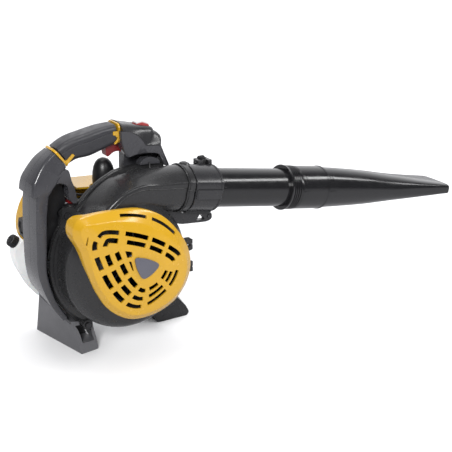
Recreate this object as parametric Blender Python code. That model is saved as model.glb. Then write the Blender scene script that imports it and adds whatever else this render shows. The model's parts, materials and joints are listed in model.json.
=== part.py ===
"""Hand-held petrol leaf blower, built as an assembly of separate pieces.

Frame: +X is the blow direction, +Y the engine side, +Z up. The origin is on the sole of the rear
foot, in the middle plane of the handle. Shapes are drawn from the point under the crank axis, on the
plane the feet rest on, and START takes them to the origin.
Every size in this file is in millimetres, and MM turns it into Blender's metres.
"""

import math

import bmesh
import bpy
from mathutils import Matrix, Vector

MM = 0.001
GAP = 0.4

# The origin, seen from the point under the crank axis
START = Vector((-56, 0, 0))

# Engine and fan
CRANK_Z = 170
ENGINE_Y = 25
SHAFT_R = 6
FAN_R = 80
STROKE = 28
CRANK_OFFSET = STROKE / 2

# Blower tube: its axis leaves the outlet and slopes down
OUTLET = Vector((86, -52, 266))
TUBE_PITCH = math.radians(9.5)
TUBE_DIR = Vector((math.cos(TUBE_PITCH), 0, -math.sin(TUBE_PITCH)))
OUTLET_R = 36
TUBE_R = 31.5
SLEEVE_R = 36.5
NOZZLE_TIP = 562

# Handle: half widths across the machine
HEAD_HALF = 24

# Scroll: (angle in degrees, radius of the flange), going round from the tongue to the duct
SCROLL = (
    (40, 97), (0, 101), (-45, 112), (-90, 121), (-120, 127), (-145, 123),
    (-180, 115), (-218, 112), (-236, 110), (-250, 117), (-262, 128),
)
FLANGE_STEP = 8
WALL = 3
SCREW_SPOTS = ((-86, 243), (-61, 55), (80, 229))

# Intake grille: its rim as (x, z), the middle of its rings, and the hinge axis
GRILLE_RIM = (
    (-110, 238), (-100, 257), (-78, 265), (-40, 266), (0, 262), (36, 243), (64, 212), (80, 181),
    (83, 150), (72, 121), (50, 98), (15, 85), (-24, 87), (-58, 110), (-78, 143), (-91, 179), (-100, 212),
)
GRILLE_MIDDLE = Vector((-4, 174))
HINGE_X, HINGE_Y = 89, -93

# Pivots of the small moving pieces
KNOB_Y, KNOB_Z = -34, 294.8
TRIGGER_PIVOT = (20, 0, 335)
SWITCH_PIVOT = (55.5, 0, 357)
CAP_BASE = Vector((-120.5, 108, 162))
CAP_DIR = Vector((-20, 0, 17)).normalized()

# Recoil starter
STARTER_Y = 76
ROPE_Y = 100
ROPE_X = 28.5
PULLEY_CORE = 26

# Colours as (red, green, blue), roughness, metallic
YELLOW = ((0.79, 0.40, 0.03), 0.38, 0.0)
DARK_PLASTIC = ((0.075, 0.075, 0.08), 0.42, 0.0)
GREY_PLASTIC = ((0.10, 0.10, 0.11), 0.38, 0.0)
TUBE_PLASTIC = ((0.045, 0.045, 0.05), 0.25, 0.0)
BLACK_PLASTIC = ((0.02, 0.02, 0.022), 0.5, 0.0)
SOFT_RUBBER = ((0.035, 0.035, 0.04), 0.75, 0.0)
RED_PLASTIC = ((0.20, 0.015, 0.015), 0.4, 0.0)
SWITCH_RED = ((0.6, 0.05, 0.04), 0.4, 0.0)
TANK_WHITE = ((0.72, 0.72, 0.68), 0.35, 0.0)
BADGE_GREY = ((0.13, 0.13, 0.145), 0.45, 0.0)
CAST_ALUMINIUM = ((0.55, 0.55, 0.57), 0.5, 1.0)
STEEL = ((0.45, 0.45, 0.46), 0.35, 1.0)
BLACKENED_STEEL = ((0.08, 0.08, 0.085), 0.45, 1.0)
PAPER = ((0.7, 0.62, 0.45), 0.9, 0.0)
CLEAR_BULB = ((0.65, 0.6, 0.5), 0.3, 0.0)


def clear_scene():
    for old in list(bpy.data.objects):
        bpy.data.objects.remove(old, do_unlink=True)


def make_material(name, look):
    colour, roughness, metallic = look
    material = bpy.data.materials.new(name + "_finish")
    material.use_nodes = True
    shader = material.node_tree.nodes["Principled BSDF"]
    shader.inputs["Base Color"].default_value = (*colour, 1.0)
    shader.inputs["Roughness"].default_value = roughness
    shader.inputs["Metallic"].default_value = metallic
    return material


def make_object(name, bm, look, origin=(0, 0, 0), smooth_angle=35):
    """Turns a bmesh in millimetres into an object in metres whose origin is at the given point."""
    origin = Vector(origin)
    bmesh.ops.recalc_face_normals(bm, faces=bm.faces)
    bm.transform(Matrix.Scale(MM, 4) @ Matrix.Translation(-origin))
    mesh = bpy.data.meshes.new(name)
    bm.to_mesh(mesh)
    bm.free()
    mesh.shade_smooth()
    mesh.set_sharp_from_angle(angle=math.radians(smooth_angle))
    obj = bpy.data.objects.new(name, mesh)
    obj.location = (origin - START) * MM
    bpy.context.scene.collection.objects.link(obj)
    obj.data.materials.append(make_material(name, look))
    return obj


def make_helper(name, bm):
    helper = make_object(name, bm, BLACK_PLASTIC)
    helper.hide_render = True
    helper.display_type = "WIRE"
    return helper


def boolean(obj, operation, bm):
    """Adds one Boolean to the object. The other shape is a hidden helper."""
    count = len(obj.modifiers) + 1
    helper = make_helper(f"{obj.name}_helper_{count}", bm)
    modifier = obj.modifiers.new(f"{operation.lower()}_{count}", "BOOLEAN")
    modifier.operation = operation
    # EXACT leaves open edges on several of these shapes, and every shape here is closed.
    modifier.solver = "MANIFOLD"
    modifier.object = helper


def cut(obj, *shapes):
    for bm in shapes:
        boolean(obj, "DIFFERENCE", bm)


def fuse(obj, *shapes):
    for bm in shapes:
        boolean(obj, "UNION", bm)


def skin(rings, closed_path=False):
    """A closed surface through rings of equal length. Open paths get end caps."""
    bm = bmesh.new()
    loops = [[bm.verts.new(point) for point in ring] for ring in rings]
    count = len(loops[0])
    pairs = list(zip(loops, loops[1:]))
    if closed_path:
        pairs.append((loops[-1], loops[0]))
    for low, high in pairs:
        for i in range(count):
            j = (i + 1) % count
            bm.faces.new((low[i], low[j], high[j], high[i]))
    if not closed_path:
        bm.faces.new(loops[0])
        bm.faces.new(loops[-1])
    bm.normal_update()
    bmesh.ops.triangulate(bm, faces=[f for f in bm.faces if len(f.verts) > 4])
    return bm


def prism(outline, low, high):
    """An (x, z) outline extruded along Y."""
    return skin([[Vector((x, y, z)) for x, z in outline] for y in (low, high)])


def block(low, high):
    (x0, y0, z0), (x1, y1, z1) = low, high
    return prism([(x0, z0), (x1, z0), (x1, z1), (x0, z1)], y0, y1)


def side_axes(direction):
    """Two directions square to the given one. The first stays level."""
    direction = Vector(direction).normalized()
    level = Vector((0, 0, 1)).cross(direction)
    if level.length < 0.01:
        level = Vector((1, 0, 0))
    level.normalize()
    return level, direction.cross(level)


def lathe(profile, base, direction, segments=24):
    """A closed profile of (radius, distance along the axis) turned about the axis through base."""
    direction = Vector(direction).normalized()
    base = Vector(base)
    level, up = side_axes(direction)
    rings = []
    for k in range(segments):
        angle = 2 * math.pi * k / segments
        out = level * math.cos(angle) + up * math.sin(angle)
        rings.append([base + out * r + direction * a for r, a in profile])
    return skin(rings, closed_path=True)


def rod(base, direction, radius, low, high, segments=16):
    """A solid round bar from low to high along the axis."""
    direction = Vector(direction).normalized()
    base = Vector(base)
    level, up = side_axes(direction)
    rings = []
    for along in (low, high):
        turn = [2 * math.pi * k / segments for k in range(segments)]
        rings.append([
            base + direction * along + (level * math.cos(a) + up * math.sin(a)) * radius
            for a in turn
        ])
    return skin(rings)


def turned_solid(base, direction, stations, segments=16):
    """A solid bar whose radius changes: stations are (radius, distance along the axis)."""
    direction = Vector(direction).normalized()
    base = Vector(base)
    level, up = side_axes(direction)
    rings = []
    for radius, along in stations:
        turn = [2 * math.pi * k / segments for k in range(segments)]
        rings.append([
            base + direction * along + (level * math.cos(a) + up * math.sin(a)) * radius
            for a in turn
        ])
    return skin(rings)


def tube_ring(base, direction, inner, outer, low, high, segments=24):
    return lathe([(inner, low), (outer, low), (outer, high), (inner, high)], base, direction, segments)


def arc(centre_x, centre_z, radius, start, end, steps):
    """Points on a circle, with angles in degrees from +X towards +Z."""
    angles = [math.radians(start + (end - start) * k / steps) for k in range(steps + 1)]
    return [(centre_x + radius * math.cos(a), centre_z + radius * math.sin(a)) for a in angles]


def catmull(points, steps, closed=False):
    """A smooth curve through the points."""
    count = len(points)
    spans = range(count if closed else count - 1)
    curve = []
    for i in spans:
        if closed:
            p0, p1, p2, p3 = (points[(i + k) % count] for k in (-1, 0, 1, 2))
        else:
            p0, p1, p2, p3 = (points[min(max(i + k, 0), count - 1)] for k in (-1, 0, 1, 2))
        for s in range(steps):
            t = s / steps
            curve.append(tuple(
                0.5 * (2 * b + (c - a) * t + (2 * a - 5 * b + 4 * c - d) * t * t
                       + (3 * b - a - 3 * c + d) * t ** 3)
                for a, b, c, d in zip(p0, p1, p2, p3)
            ))
    if not closed:
        curve.append(tuple(points[-1]))
    return curve


def rounded(outline, radius, steps=3):
    """The outline with each corner turned into a short curve."""
    result = []
    count = len(outline)
    for i, corner in enumerate(outline):
        here = Vector(corner)
        before = Vector(outline[i - 1]) - here
        after = Vector(outline[(i + 1) % count]) - here
        reach = min(radius, before.length * 0.45, after.length * 0.45)
        start = here + before.normalized() * reach
        end = here + after.normalized() * reach
        for s in range(steps + 1):
            t = s / steps
            point = start * (1 - t) ** 2 + here * 2 * t * (1 - t) + end * t * t
            result.append(tuple(point))
    return result


def on_tube(along, level=0.0, up=0.0):
    """A point given by its distance along the tube, and its offsets square to it."""
    side, rise = side_axes(TUBE_DIR)
    return OUTLET + TUBE_DIR * along + side * level + rise * up


def tube_section(along, half_width, half_height, power, segments):
    """A rounded section square to the tube. Power 2 is an ellipse, and higher is more square."""
    ring = []
    for k in range(segments):
        a = 2 * math.pi * k / segments
        c, s = math.cos(a), math.sin(a)
        x = math.copysign(abs(c) ** (2 / power), c) * half_width
        z = math.copysign(abs(s) ** (2 / power), s) * half_height
        ring.append(on_tube(along, x, z))
    return ring


# ---------------------------------------------------------------- fan housing

def scroll_radius(angle):
    """Flange radius at an angle in degrees, on a smooth curve through SCROLL."""
    angle = (angle + 262) % 360 - 262
    if angle > 40:
        share = (angle - 40) / 58
        return SCROLL[0][1] + (SCROLL[-1][1] - SCROLL[0][1]) * share
    for (a0, r0), (a1, r1) in zip(SCROLL, SCROLL[1:]):
        if a1 <= angle <= a0:
            share = (a0 - angle) / (a0 - a1)
            share = share * share * (3 - 2 * share)
            return r0 + (r1 - r0) * share
    return SCROLL[-1][1]


def scroll_point(angle, inset):
    radius = scroll_radius(angle) - inset
    a = math.radians(angle)
    return radius * math.cos(a), CRANK_Z + radius * math.sin(a)


def flange_outline(extra=0.0):
    """Scroll and duct outline of the joint between the two halves of the fan housing."""
    round_part = [scroll_point(angle, -extra) for angle in range(40, -263, -14)]
    top = [(15, 302 + extra), (50, 303 + extra), (82, 299 + extra)]
    front = [(82, 262), (72, 240)]
    return round_part + top + front


def channel(inset, low, high, front_inset):
    """The scroll's air channel, rounded towards the intake side."""
    angles = range(0, -360, -12)
    stations = [(high, 0.0), (-74, 0.0), (-86, 6 + 0.3 * front_inset), (low, 20 + front_inset)]
    rings = []
    for y, shrink in stations:
        ring = []
        for angle in angles:
            x, z = scroll_point(angle, FLANGE_STEP + inset + shrink)
            ring.append(Vector((x, y, z)))
        rings.append(ring)
    return skin(rings)


def duct(inset, end):
    """The duct from the top of the scroll to the round outlet. Each station is
    (x, centre z, half width, half height, power), and the last one lies square to the tube."""
    stations = [(-12, 250, 33, 38.5, 4.0), (25, 255, 33.5, 38, 3.6), (58, 261.5, 34.5, 37, 2.8)]
    rings = []
    segments = 28
    for x, z, half_width, half_height, power in stations:
        ring = []
        for k in range(segments):
            a = 2 * math.pi * k / segments
            c, s = math.cos(a), math.sin(a)
            dy = -math.copysign(abs(c) ** (2 / power), c) * (half_width - inset)
            dz = math.copysign(abs(s) ** (2 / power), s) * (half_height - inset)
            ring.append(Vector((x, OUTLET.y - dy, z + dz)))
        rings.append(ring)
    rings.append(tube_section(end, OUTLET_R - inset, OUTLET_R - inset, 2, segments))
    return skin(rings)


def build_volute_shell():
    shell = make_object("volute_shell", channel(0, -95, -17, 0), DARK_PLASTIC)
    fuse(shell, duct(0, 0))
    fuse(shell, prism(flange_outline(), -21, -16.2))
    fuse(shell, block((70, -96.1, 128), (94, -80, 138)), block((70, -96.1, 202), (94, -80, 212)))
    cut(shell, channel(WALL, -92, -10, 0), duct(WALL, 3))
    cut(shell, rod((0, -110, CRANK_Z), (0, 1, 0), 62, 0, 40, 32))
    cut(shell, rod((HINGE_X, HINGE_Y, 120), (0, 0, 1), 2.4, 0, 100, 12))
    for x, z in SCREW_SPOTS:
        fuse(shell, rod((x, -23, z), (0, 1, 0), 6.5, -1.5, 6, 12))
        cut(shell, rod((x, -30, z), (0, 1, 0), 3.0, 0, 20, 12))
    return shell


def build_volute_back():
    back = make_object("volute_back", prism(flange_outline(), -15.8, -10), DARK_PLASTIC)
    cut(back, rod((0, -20, CRANK_Z), (0, 1, 0), 16, 0, 20, 20))
    for x, z in SCREW_SPOTS:
        fuse(back, rod((x, -15.8, z), (0, 1, 0), 6.5, 0, 8, 12))
        cut(back, rod((x, -30, z), (0, 1, 0), 3.0, 0, 40, 12))
    return back


def build_cover_screws():
    for number, (x, z) in enumerate(SCREW_SPOTS, 1):
        stations = [(4.6, 0), (4.6, 3), (2.2, 3.01), (2.2, 18)]
        bm = turned_solid((x, -28.3, z), (0, 1, 0), stations, 12)
        make_object(f"cover_screw_{number}", bm, BLACKENED_STEEL)


def build_outlet_collar():
    bm = tube_ring(OUTLET, TUBE_DIR, 31.9, 37.5, GAP, 15, 32)
    make_object("outlet_collar", bm, DARK_PLASTIC)


def build_tube_clamp():
    clamp = make_object("tube_clamp", tube_ring(OUTLET, TUBE_DIR, 32, 36.8, 15.6, 66, 32), GREY_PLASTIC)
    for angle in (-100, 172):
        a = math.radians(angle)
        out = Vector((math.cos(a), math.sin(a)))
        ring = []
        for along in (16.5, 67.5):
            corners = []
            for radius, spread in ((34, -5), (39.5, -5), (39.5, 5), (34, 5)):
                level = out.x * radius - out.y * spread
                rise = out.y * radius + out.x * spread
                corners.append(on_tube(along, level, rise))
            ring.append(corners)
        fuse(clamp, skin(ring))
    fuse(clamp, block((134, -48, 284), (140, -27, 300)), block((150, -48, 282), (156, -27, 299.5)))
    cut(clamp, rod((120, KNOB_Y, KNOB_Z), (1, 0, 0), 3.0, 0, 50, 12))
    cut(clamp, rod((145, KNOB_Y, KNOB_Z), (1, 0, 0), 11, -4.9, 4.9, 16))
    cut(clamp, rod(OUTLET, TUBE_DIR, 32.3, 0, 80, 32))
    return clamp


def build_clamp_knob():
    """A knurled thumb nut between the two ears of the clamp."""
    teeth = 14
    rings = []
    for x in (140.6, 149.4):
        ring = []
        for k in range(teeth * 2):
            a = math.pi * k / teeth
            radius = 9.8 if k % 2 else 8.8
            ring.append(Vector((x, KNOB_Y + radius * math.cos(a), KNOB_Z + radius * math.sin(a))))
        rings.append(ring)
    knob = make_object("clamp_knob", skin(rings), BLACK_PLASTIC, (145, KNOB_Y, KNOB_Z))
    fuse(knob, rod((0, KNOB_Y, KNOB_Z), (1, 0, 0), 2.5, 131, 160, 12))
    return knob


def build_outlet_lug():
    corners = [(80, 228), (140, 219), (149, 213), (149, 204), (140, 202), (92, 208), (80, 214)]
    outline = rounded(corners, 4, 2)
    lug = make_object("outlet_lug", prism(outline, -56, -48), GREY_PLASTIC)
    hole = [(122, 207), (136, 206), (129, 216)]
    cut(lug, prism(hole, -60, -40))
    cut(lug, rod(OUTLET, TUBE_DIR, 38.2, -20, 17, 32), rod(OUTLET, TUBE_DIR, 40.5, 15, 80, 32))
    cut(lug, block((60, -60, 190), (88, -40, 240)))
    return lug


def build_blower_tube():
    tube = make_object("blower_tube", tube_ring(OUTLET, TUBE_DIR, 29.3, TUBE_R, 16, 226, 36),
                       TUBE_PLASTIC, OUTLET)
    for angle in (170, -10):
        a = math.radians(angle)
        place = on_tube(78, math.cos(a) * (TUBE_R - 1), math.sin(a) * (TUBE_R - 1))
        out = on_tube(78, math.cos(a), math.sin(a)) - on_tube(78)
        fuse(tube, rod(place, out, 4, 0, 3, 12))
    return tube


def nozzle_rings(inset, end):
    """Sleeve and flat tip: stations are (distance, half width, half height, power)."""
    stations = [
        (285, 34.6, 34.6, 2), (320, 34, 33.4, 2), (380, 33.8, 29, 2.1), (440, 34.6, 22.5, 2.3),
        (500, 36.5, 15.5, 3), (NOZZLE_TIP, 38.5, 8.5, 4.5),
    ]
    sections = catmull(stations, 1)
    rings = []
    for along, half_width, half_height, power in sections:
        reach = along + (end if along > NOZZLE_TIP - 1 else 0)
        rings.append(tube_section(reach, half_width - inset, half_height - inset, power, 24))
    return rings


def build_nozzle():
    lip = SLEEVE_R + 1.5
    stations = ((203, lip), (208, lip), (209, SLEEVE_R), (281, SLEEVE_R))
    sleeve = [tube_section(along, radius, radius, 2, 24) for along, radius in stations]
    nozzle = make_object("nozzle", skin(sleeve + nozzle_rings(0, 0)), TUBE_PLASTIC, on_tube(203))
    bore = [tube_section(along, radius, radius, 2, 24) for along, radius in ((200, 32), (230, 32))]
    cut(nozzle, skin(bore + nozzle_rings(2.5, 5)))
    return nozzle


# ------------------------------------------------------------- intake grille

def grille_ring(share, y):
    rim = catmull(GRILLE_RIM, 2, closed=True)
    ring = []
    for x, z in rim:
        point = GRILLE_MIDDLE + (Vector((x, z)) - GRILLE_MIDDLE) * share
        ring.append(Vector((point.x, y, point.y)))
    return ring


def rounded_triangle(radius, squareness, steps, centre=(0, 172)):
    """A three-cornered ring like the badge. Its corners point up-left, right and down."""
    points = []
    for k in range(steps):
        a = 2 * math.pi * k / steps
        reach = radius * (1 + squareness * math.cos(3 * (a - math.radians(15))))
        points.append((centre[0] + reach * math.cos(a), centre[1] + reach * math.sin(a)))
    return points


def slot_shape(radius, start, end, width):
    """One slot: a strip of a three-cornered ring between two angles."""
    def at(reach, angle):
        a = math.radians(angle)
        grow = 1 + 0.12 * math.cos(3 * (a - math.radians(15)))
        return reach * grow * math.cos(a), 172 + reach * grow * math.sin(a)

    count = max(1, round(abs(end - start) / 34))
    angles = [start + (end - start) * k / count for k in range(count + 1)]
    outer = [at(radius + width / 2, a) for a in angles]
    inner = [at(radius - width / 2, a) for a in reversed(angles)]
    return prism(outer + inner, -135, -100)


def slot_cutters():
    shapes = bmesh.new()
    rows = ((31, 6.5, 5), (45, 6.5, 7), (59, 6.5, 9))
    for radius, width, count in rows:
        for k in range(count):
            start = 360 * k / count + 18
            piece = slot_shape(radius, start, start + 360 / count - 340 / radius, width)
            mesh = bpy.data.meshes.new("slot")
            piece.to_mesh(mesh)
            piece.free()
            shapes.from_mesh(mesh)
            bpy.data.meshes.remove(mesh)
    bmesh.ops.recalc_face_normals(shapes, faces=shapes.faces)
    return shapes


def build_intake_grille():
    outer_levels = ((1.0, -96.5), (0.99, -108), (0.87, -119), (0.45, -124))
    inner_levels = ((0.965, -90), (0.955, -107), (0.84, -116.2), (0.43, -121.2))
    outside = [grille_ring(*level) for level in outer_levels]
    grille = make_object("intake_grille", skin(outside), YELLOW, (HINGE_X, HINGE_Y, CRANK_Z))
    cut(grille, skin([grille_ring(*level) for level in inner_levels]))
    cut(grille, slot_cutters())
    fuse(grille, block((76, -104, 141), (86, -98, 199)))
    knuckle = rod((HINGE_X, HINGE_Y, 141), (0, 0, 1), 4.5, 0, 58, 12)
    fuse(grille, knuckle, block((82, -100, 142), (88, -93, 198)))
    cut(grille, rod((HINGE_X, HINGE_Y, 100), (0, 0, 1), 2.4, 0, 140, 12))
    return grille


def build_grille_badge():
    outline = rounded_triangle(16, 0.14, 18)
    make_object("grille_badge", prism(outline, -126.6, -124.4), BADGE_GREY)


def build_grille_hinge_pin():
    make_object("grille_hinge_pin", rod((HINGE_X, HINGE_Y, 126), (0, 0, 1), 2.0, 0, 88, 12), STEEL)


def build_grille_latch():
    outline = [(-96, 226), (-84, 226), (-84, 244), (-90, 250), (-96, 244)]
    make_object("grille_latch", prism(outline, -108, -97), BLACK_PLASTIC)


# -------------------------------------------------------------- rotating group

def build_impeller():
    fan = make_object("impeller", tube_ring((0, -28, CRANK_Z), (0, 1, 0), 6.4, FAN_R, 0, 3, 28),
                      BLACK_PLASTIC, (0, 0, CRANK_Z))
    fuse(fan, tube_ring((0, -60, CRANK_Z), (0, 1, 0), 6.4, 16, 0, 33, 20))
    blades = bmesh.new()
    for k in range(9):
        turn = Matrix.Rotation(2 * math.pi * k / 9, 4, "Y")
        points = [(14, 0), (46, 9), (79, 24), (79, 26.5), (46, 11.5), (14, 2.5)]
        rings = [[Vector((x, y, z)) for x, z in points] for y in (-76, -26.5)]
        piece = skin(rings)
        piece.transform(Matrix.Translation((0, 0, CRANK_Z)) @ turn)
        mesh = bpy.data.meshes.new("blade")
        piece.to_mesh(mesh)
        piece.free()
        blades.from_mesh(mesh)
        bpy.data.meshes.remove(mesh)
    bmesh.ops.recalc_face_normals(blades, faces=blades.faces)
    fuse(fan, blades)
    return fan


def build_crankshaft():
    centre = (0, 0, CRANK_Z)
    shaft = make_object("crankshaft", rod(centre, (0, 1, 0), SHAFT_R, -66, 20, 20), STEEL, centre)
    fuse(shaft, rod(centre, (0, 1, 0), SHAFT_R, 30, 76, 20))
    fuse(shaft, rod(centre, (0, 1, 0), 20, 13, 19, 24), rod(centre, (0, 1, 0), 20, 31, 37, 24))
    fuse(shaft, rod((0, 0, CRANK_Z + CRANK_OFFSET), (0, 1, 0), 4.5, 18, 32, 14))
    return shaft


def build_flywheel():
    centre = (0, 0, CRANK_Z)
    disc = tube_ring(centre, (0, 1, 0), 6.4, 38, 59, 66, 24)
    wheel = make_object("flywheel", disc, CAST_ALUMINIUM, centre)
    fuse(wheel, tube_ring(centre, (0, 1, 0), 6.4, 12, 65, 74, 18))
    fuse(wheel, tube_ring(centre, (0, 1, 0), 18, 22, 65, 88, 24))
    fins = bmesh.new()
    for k in range(8):
        turn = Matrix.Rotation(2 * math.pi * k / 8, 4, "Y")
        piece = block((24, 65, -1.2), (37, 73, 1.2))
        piece.transform(Matrix.Translation((0, 0, CRANK_Z)) @ turn)
        mesh = bpy.data.meshes.new("fin")
        piece.to_mesh(mesh)
        piece.free()
        fins.from_mesh(mesh)
        bpy.data.meshes.remove(mesh)
    bmesh.ops.recalc_face_normals(fins, faces=fins.faces)
    fuse(wheel, fins)
    return wheel


def build_bearings():
    centre = (0, 0, CRANK_Z)
    make_object("bearing_fan_side", tube_ring(centre, (0, 1, 0), 6.3, 11, -4, 3, 20), STEEL)
    make_object("bearing_starter_side", tube_ring(centre, (0, 1, 0), 6.3, 11, 47, 54, 20), STEEL)


# ---------------------------------------------------------------------- engine

def build_crankcase():
    centre = (0, 0, CRANK_Z)
    outline = rounded([(-29, 141), (29, 141), (29, 199.5), (-29, 199.5)], 12, 3)
    right = make_object("crankcase_right", prism(outline, -9, ENGINE_Y - GAP / 2), CAST_ALUMINIUM)
    cut(right, rod(centre, (0, 1, 0), 23, 7, 30, 24), rod(centre, (0, 1, 0), 11.4, -5, 10, 20))
    cut(right, rod(centre, (0, 1, 0), 7.5, -20, 0, 20))
    left = make_object("crankcase_left", prism(outline, ENGINE_Y + GAP / 2, 57), CAST_ALUMINIUM)
    cut(left, rod(centre, (0, 1, 0), 23, 20, 43, 24), rod(centre, (0, 1, 0), 11.4, 40, 55, 20))
    cut(left, rod(centre, (0, 1, 0), 7.5, 50, 70, 20))
    for half in (right, left):
        cut(half, rod((0, ENGINE_Y, CRANK_Z), (0, 0, 1), 17.6, 0, 60, 24))


def build_cylinder():
    """Bore open at the bottom, cooling fins outside, plug hole in the head."""
    base = (0, ENGINE_Y, 0)
    outside = [(26, 200), (26, 204)]
    for k in range(6):
        low = 208 + 8 * k
        outside += [(20.5, low), (29, low + 0.8), (29, low + 2.6), (20.5, low + 3.4)]
    outside += [(20.5, 262), (5.4, 265)]
    inside = [(5.4, 257), (17.5, 254), (17.5, 200)]
    barrel = lathe(inside[::-1] + outside[::-1], base, (0, 0, 1), 16)
    cylinder = make_object("cylinder", barrel, CAST_ALUMINIUM)
    intake_port = rod((-40, ENGINE_Y, 234), (1, 0, 0), 6, 0, 30, 14)
    exhaust_port = rod((10, ENGINE_Y, 222), (1, 0, 0), 7, 0, 30, 14)
    cut(cylinder, intake_port, exhaust_port)
    return cylinder


def build_piston():
    base = (0, ENGINE_Y, 0)
    bm = turned_solid(base, (0, 0, 1), [(16.8, 222), (16.8, 250)], 24)
    piston = make_object("piston", bm, CAST_ALUMINIUM, (0, ENGINE_Y, 236))
    cut(piston, rod(base, (0, 0, 1), 13, 215, 245, 24))
    fuse(piston, rod((0, ENGINE_Y, 233), (1, 0, 0), 3.5, -14.5, 14.5, 12))
    return piston


def build_ignition():
    coil = make_object("ignition_coil", block((-17, 58, 209.5), (17, 72, 236)), BLACK_PLASTIC)
    cut(coil, block((-8, 50, 200), (8, 80, 218)))
    stations = [(5, 257.6), (5, 266), (9, 266.1), (9, 274), (5.5, 276), (5.5, 284)]
    plug_base = (0, ENGINE_Y, 0)
    make_object("spark_plug", turned_solid(plug_base, (0, 0, 1), stations, 12), STEEL)
    outer = [(11, 268.5), (17.5, 270), (18, 282), (15.5, 296), (9.5, 305), (3, 308.5)]
    boot = make_object("plug_boot", turned_solid(plug_base, (0, 0, 1), outer, 24), SOFT_RUBBER)
    cut(boot, rod(plug_base, (0, 0, 1), 9.8, 260, 277.5, 16), rod(plug_base, (0, 0, 1), 6, 270, 286, 16))
    return coil, boot


def build_fuel_system():
    y = ENGINE_Y
    block_bm = block((-43, y - 14, 222), (-29.6, y + 14, 246))
    insulator = make_object("insulator_block", block_bm, BLACK_PLASTIC)
    cut(insulator, rod((-60, y, 234), (1, 0, 0), 6, 0, 60, 14))
    outline = rounded([(-76, 218), (-43.6, 218), (-43.6, 250), (-76, 250)], 5, 2)
    carburettor = make_object("carburettor", prism(outline, y - 14, y + 16), CAST_ALUMINIUM)
    cut(carburettor, rod((-90, y, 234), (1, 0, 0), 6, 0, 70, 14))
    lever = [(-66, 252), (-54, 252), (-52, 256), (-50, 262), (-54, 264), (-58, 256.5), (-66, 256.5)]
    lever = rounded(lever, 1.5, 2)
    make_object("carb_throttle_lever", prism(lever, y + 17, y + 20), STEEL, (-60, y + 18, 254))
    choke = [(-76, 255), (-68, 250.8), (-61, 250.8), (-59, 254), (-64, 258), (-72, 264.5), (-78, 263)]
    choke = rounded(choke, 1.5, 2)
    make_object("choke_lever", prism(choke, 4, 10), RED_PLASTIC, (-65, 7, 253.5))
    cut(carburettor, rod((-60, y + 16.5, 228), (0, 1, 0), 8, -5, 3, 16))
    bulb = [(6, 0), (7.5, 1), (7.5, 3), (6.5, 6.5), (4, 9), (1.5, 9.8)]
    make_object("primer_bulb", turned_solid((-60, y + 16.5, 228), (0, 1, 0), bulb, 16), CLEAR_BULB,
                (-60, y + 16.5, 228))
    return carburettor


def build_air_filter():
    outline = rounded([(-116, 205), (-84, 205), (-84, 250), (-116, 244)], 6, 2)
    housing = make_object("air_filter_housing", prism(outline, 32, 78), BLACK_PLASTIC)
    cut(housing, prism(rounded([(-113, 208), (-87, 208), (-87, 247), (-113, 241)], 4, 2), 35, 90))
    cut(housing, rod((-100, 42, 234), (1, 0, 0), 7, 0, 30, 14))
    make_object("air_filter_element", block((-111, 42, 211), (-90, 76, 239)), PAPER)
    return housing


def build_muffler():
    outline = rounded([(37, 192), (80, 192), (80, 246), (37, 246)], 8, 2)
    muffler = make_object("muffler", prism(outline, 8, 58), BLACKENED_STEEL)
    fuse(muffler, rod((28, ENGINE_Y, 222), (1, 0, 0), 9, 2, 12, 14))
    cut(muffler, rod((20, ENGINE_Y, 222), (1, 0, 0), 7, 0, 40, 14))
    cut(muffler, rod((60, 40, 205), (0, 1, 0), 5, 0, 30, 12))
    outer = rounded([(84, 186), (88, 186), (88, 252), (48, 252), (48, 248.6), (84, 248.6)], 1.5, 2)
    guard = make_object("muffler_guard", prism(outer, 4, 64), BLACK_PLASTIC)
    for k in range(5):
        cut(guard, block((80, 12 + 10 * k, 196), (92, 16 + 10 * k, 240)))
    return muffler, guard


def build_engine_cover():
    """Hood over the engine, open below and towards the fan housing."""
    outline = [(-122, 176), (-132, 196), (-130, 232), (-117, 258), (-96, 270), (-60, 268), (-30, 264)]
    outline += [(34, 260), (34, 176)]
    outer = rounded(outline, 8, 2)
    inner = [(-119, 160), (-129.2, 196), (-127.2, 231), (-115, 255.6), (-95, 267), (-60, 265)]
    inner += [(-30, 261), (60, 255), (60, 160)]
    cover = make_object("engine_cover", prism(outer, 31, 92), YELLOW)
    cut(cover, prism(rounded(inner, 7, 2), 20, 89.2))
    cut(cover, rod((0, ENGINE_Y, 240), (0, 0, 1), 23, 0, 50, 24))
    cut(cover, rod((0, 80, CRANK_Z), (0, 1, 0), 53, 0, 20, 32))
    window = hexagon(48, 72, 196, 218)
    cut(cover, skin([[Vector((x, y, z)) for y, z in window] for x in (-140, -110)]))
    cut(cover, block((-84, 20, 240), (-44, 46, 280)))
    return cover


def hexagon(low_y, high_y, low_z, high_z):
    middle = (low_z + high_z) / 2
    inset = (high_y - low_y) * 0.22
    return [(low_y, middle), (low_y + inset, low_z), (high_y - inset, low_z), (high_y, middle),
            (high_y - inset, high_z), (low_y + inset, high_z)]


def build_fuel_tank():
    inner_side = [(-104, 171), (-96, 124), (-78, 84), (-66, 65), (29, 61), (37, 71), (37, 113)]
    inner_side += [(-53, 117), (-61, 124), (-61, 171)]
    outer_side = [(-112, 172), (-129, 152), (-120, 124), (-100, 82), (-89, 66), (30, 60), (38, 70)]
    outer_side += [(38, 114), (-52, 118), (-60, 124), (-60, 172)]
    tank = make_object("fuel_tank", prism(rounded(inner_side, 8, 2), 34, 101), TANK_WHITE)
    fuse(tank, prism(rounded(outer_side, 8, 2), 98, 122))
    fuse(tank, rod(CAP_BASE, CAP_DIR, 11, -16, 3, 20))
    return tank


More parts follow.
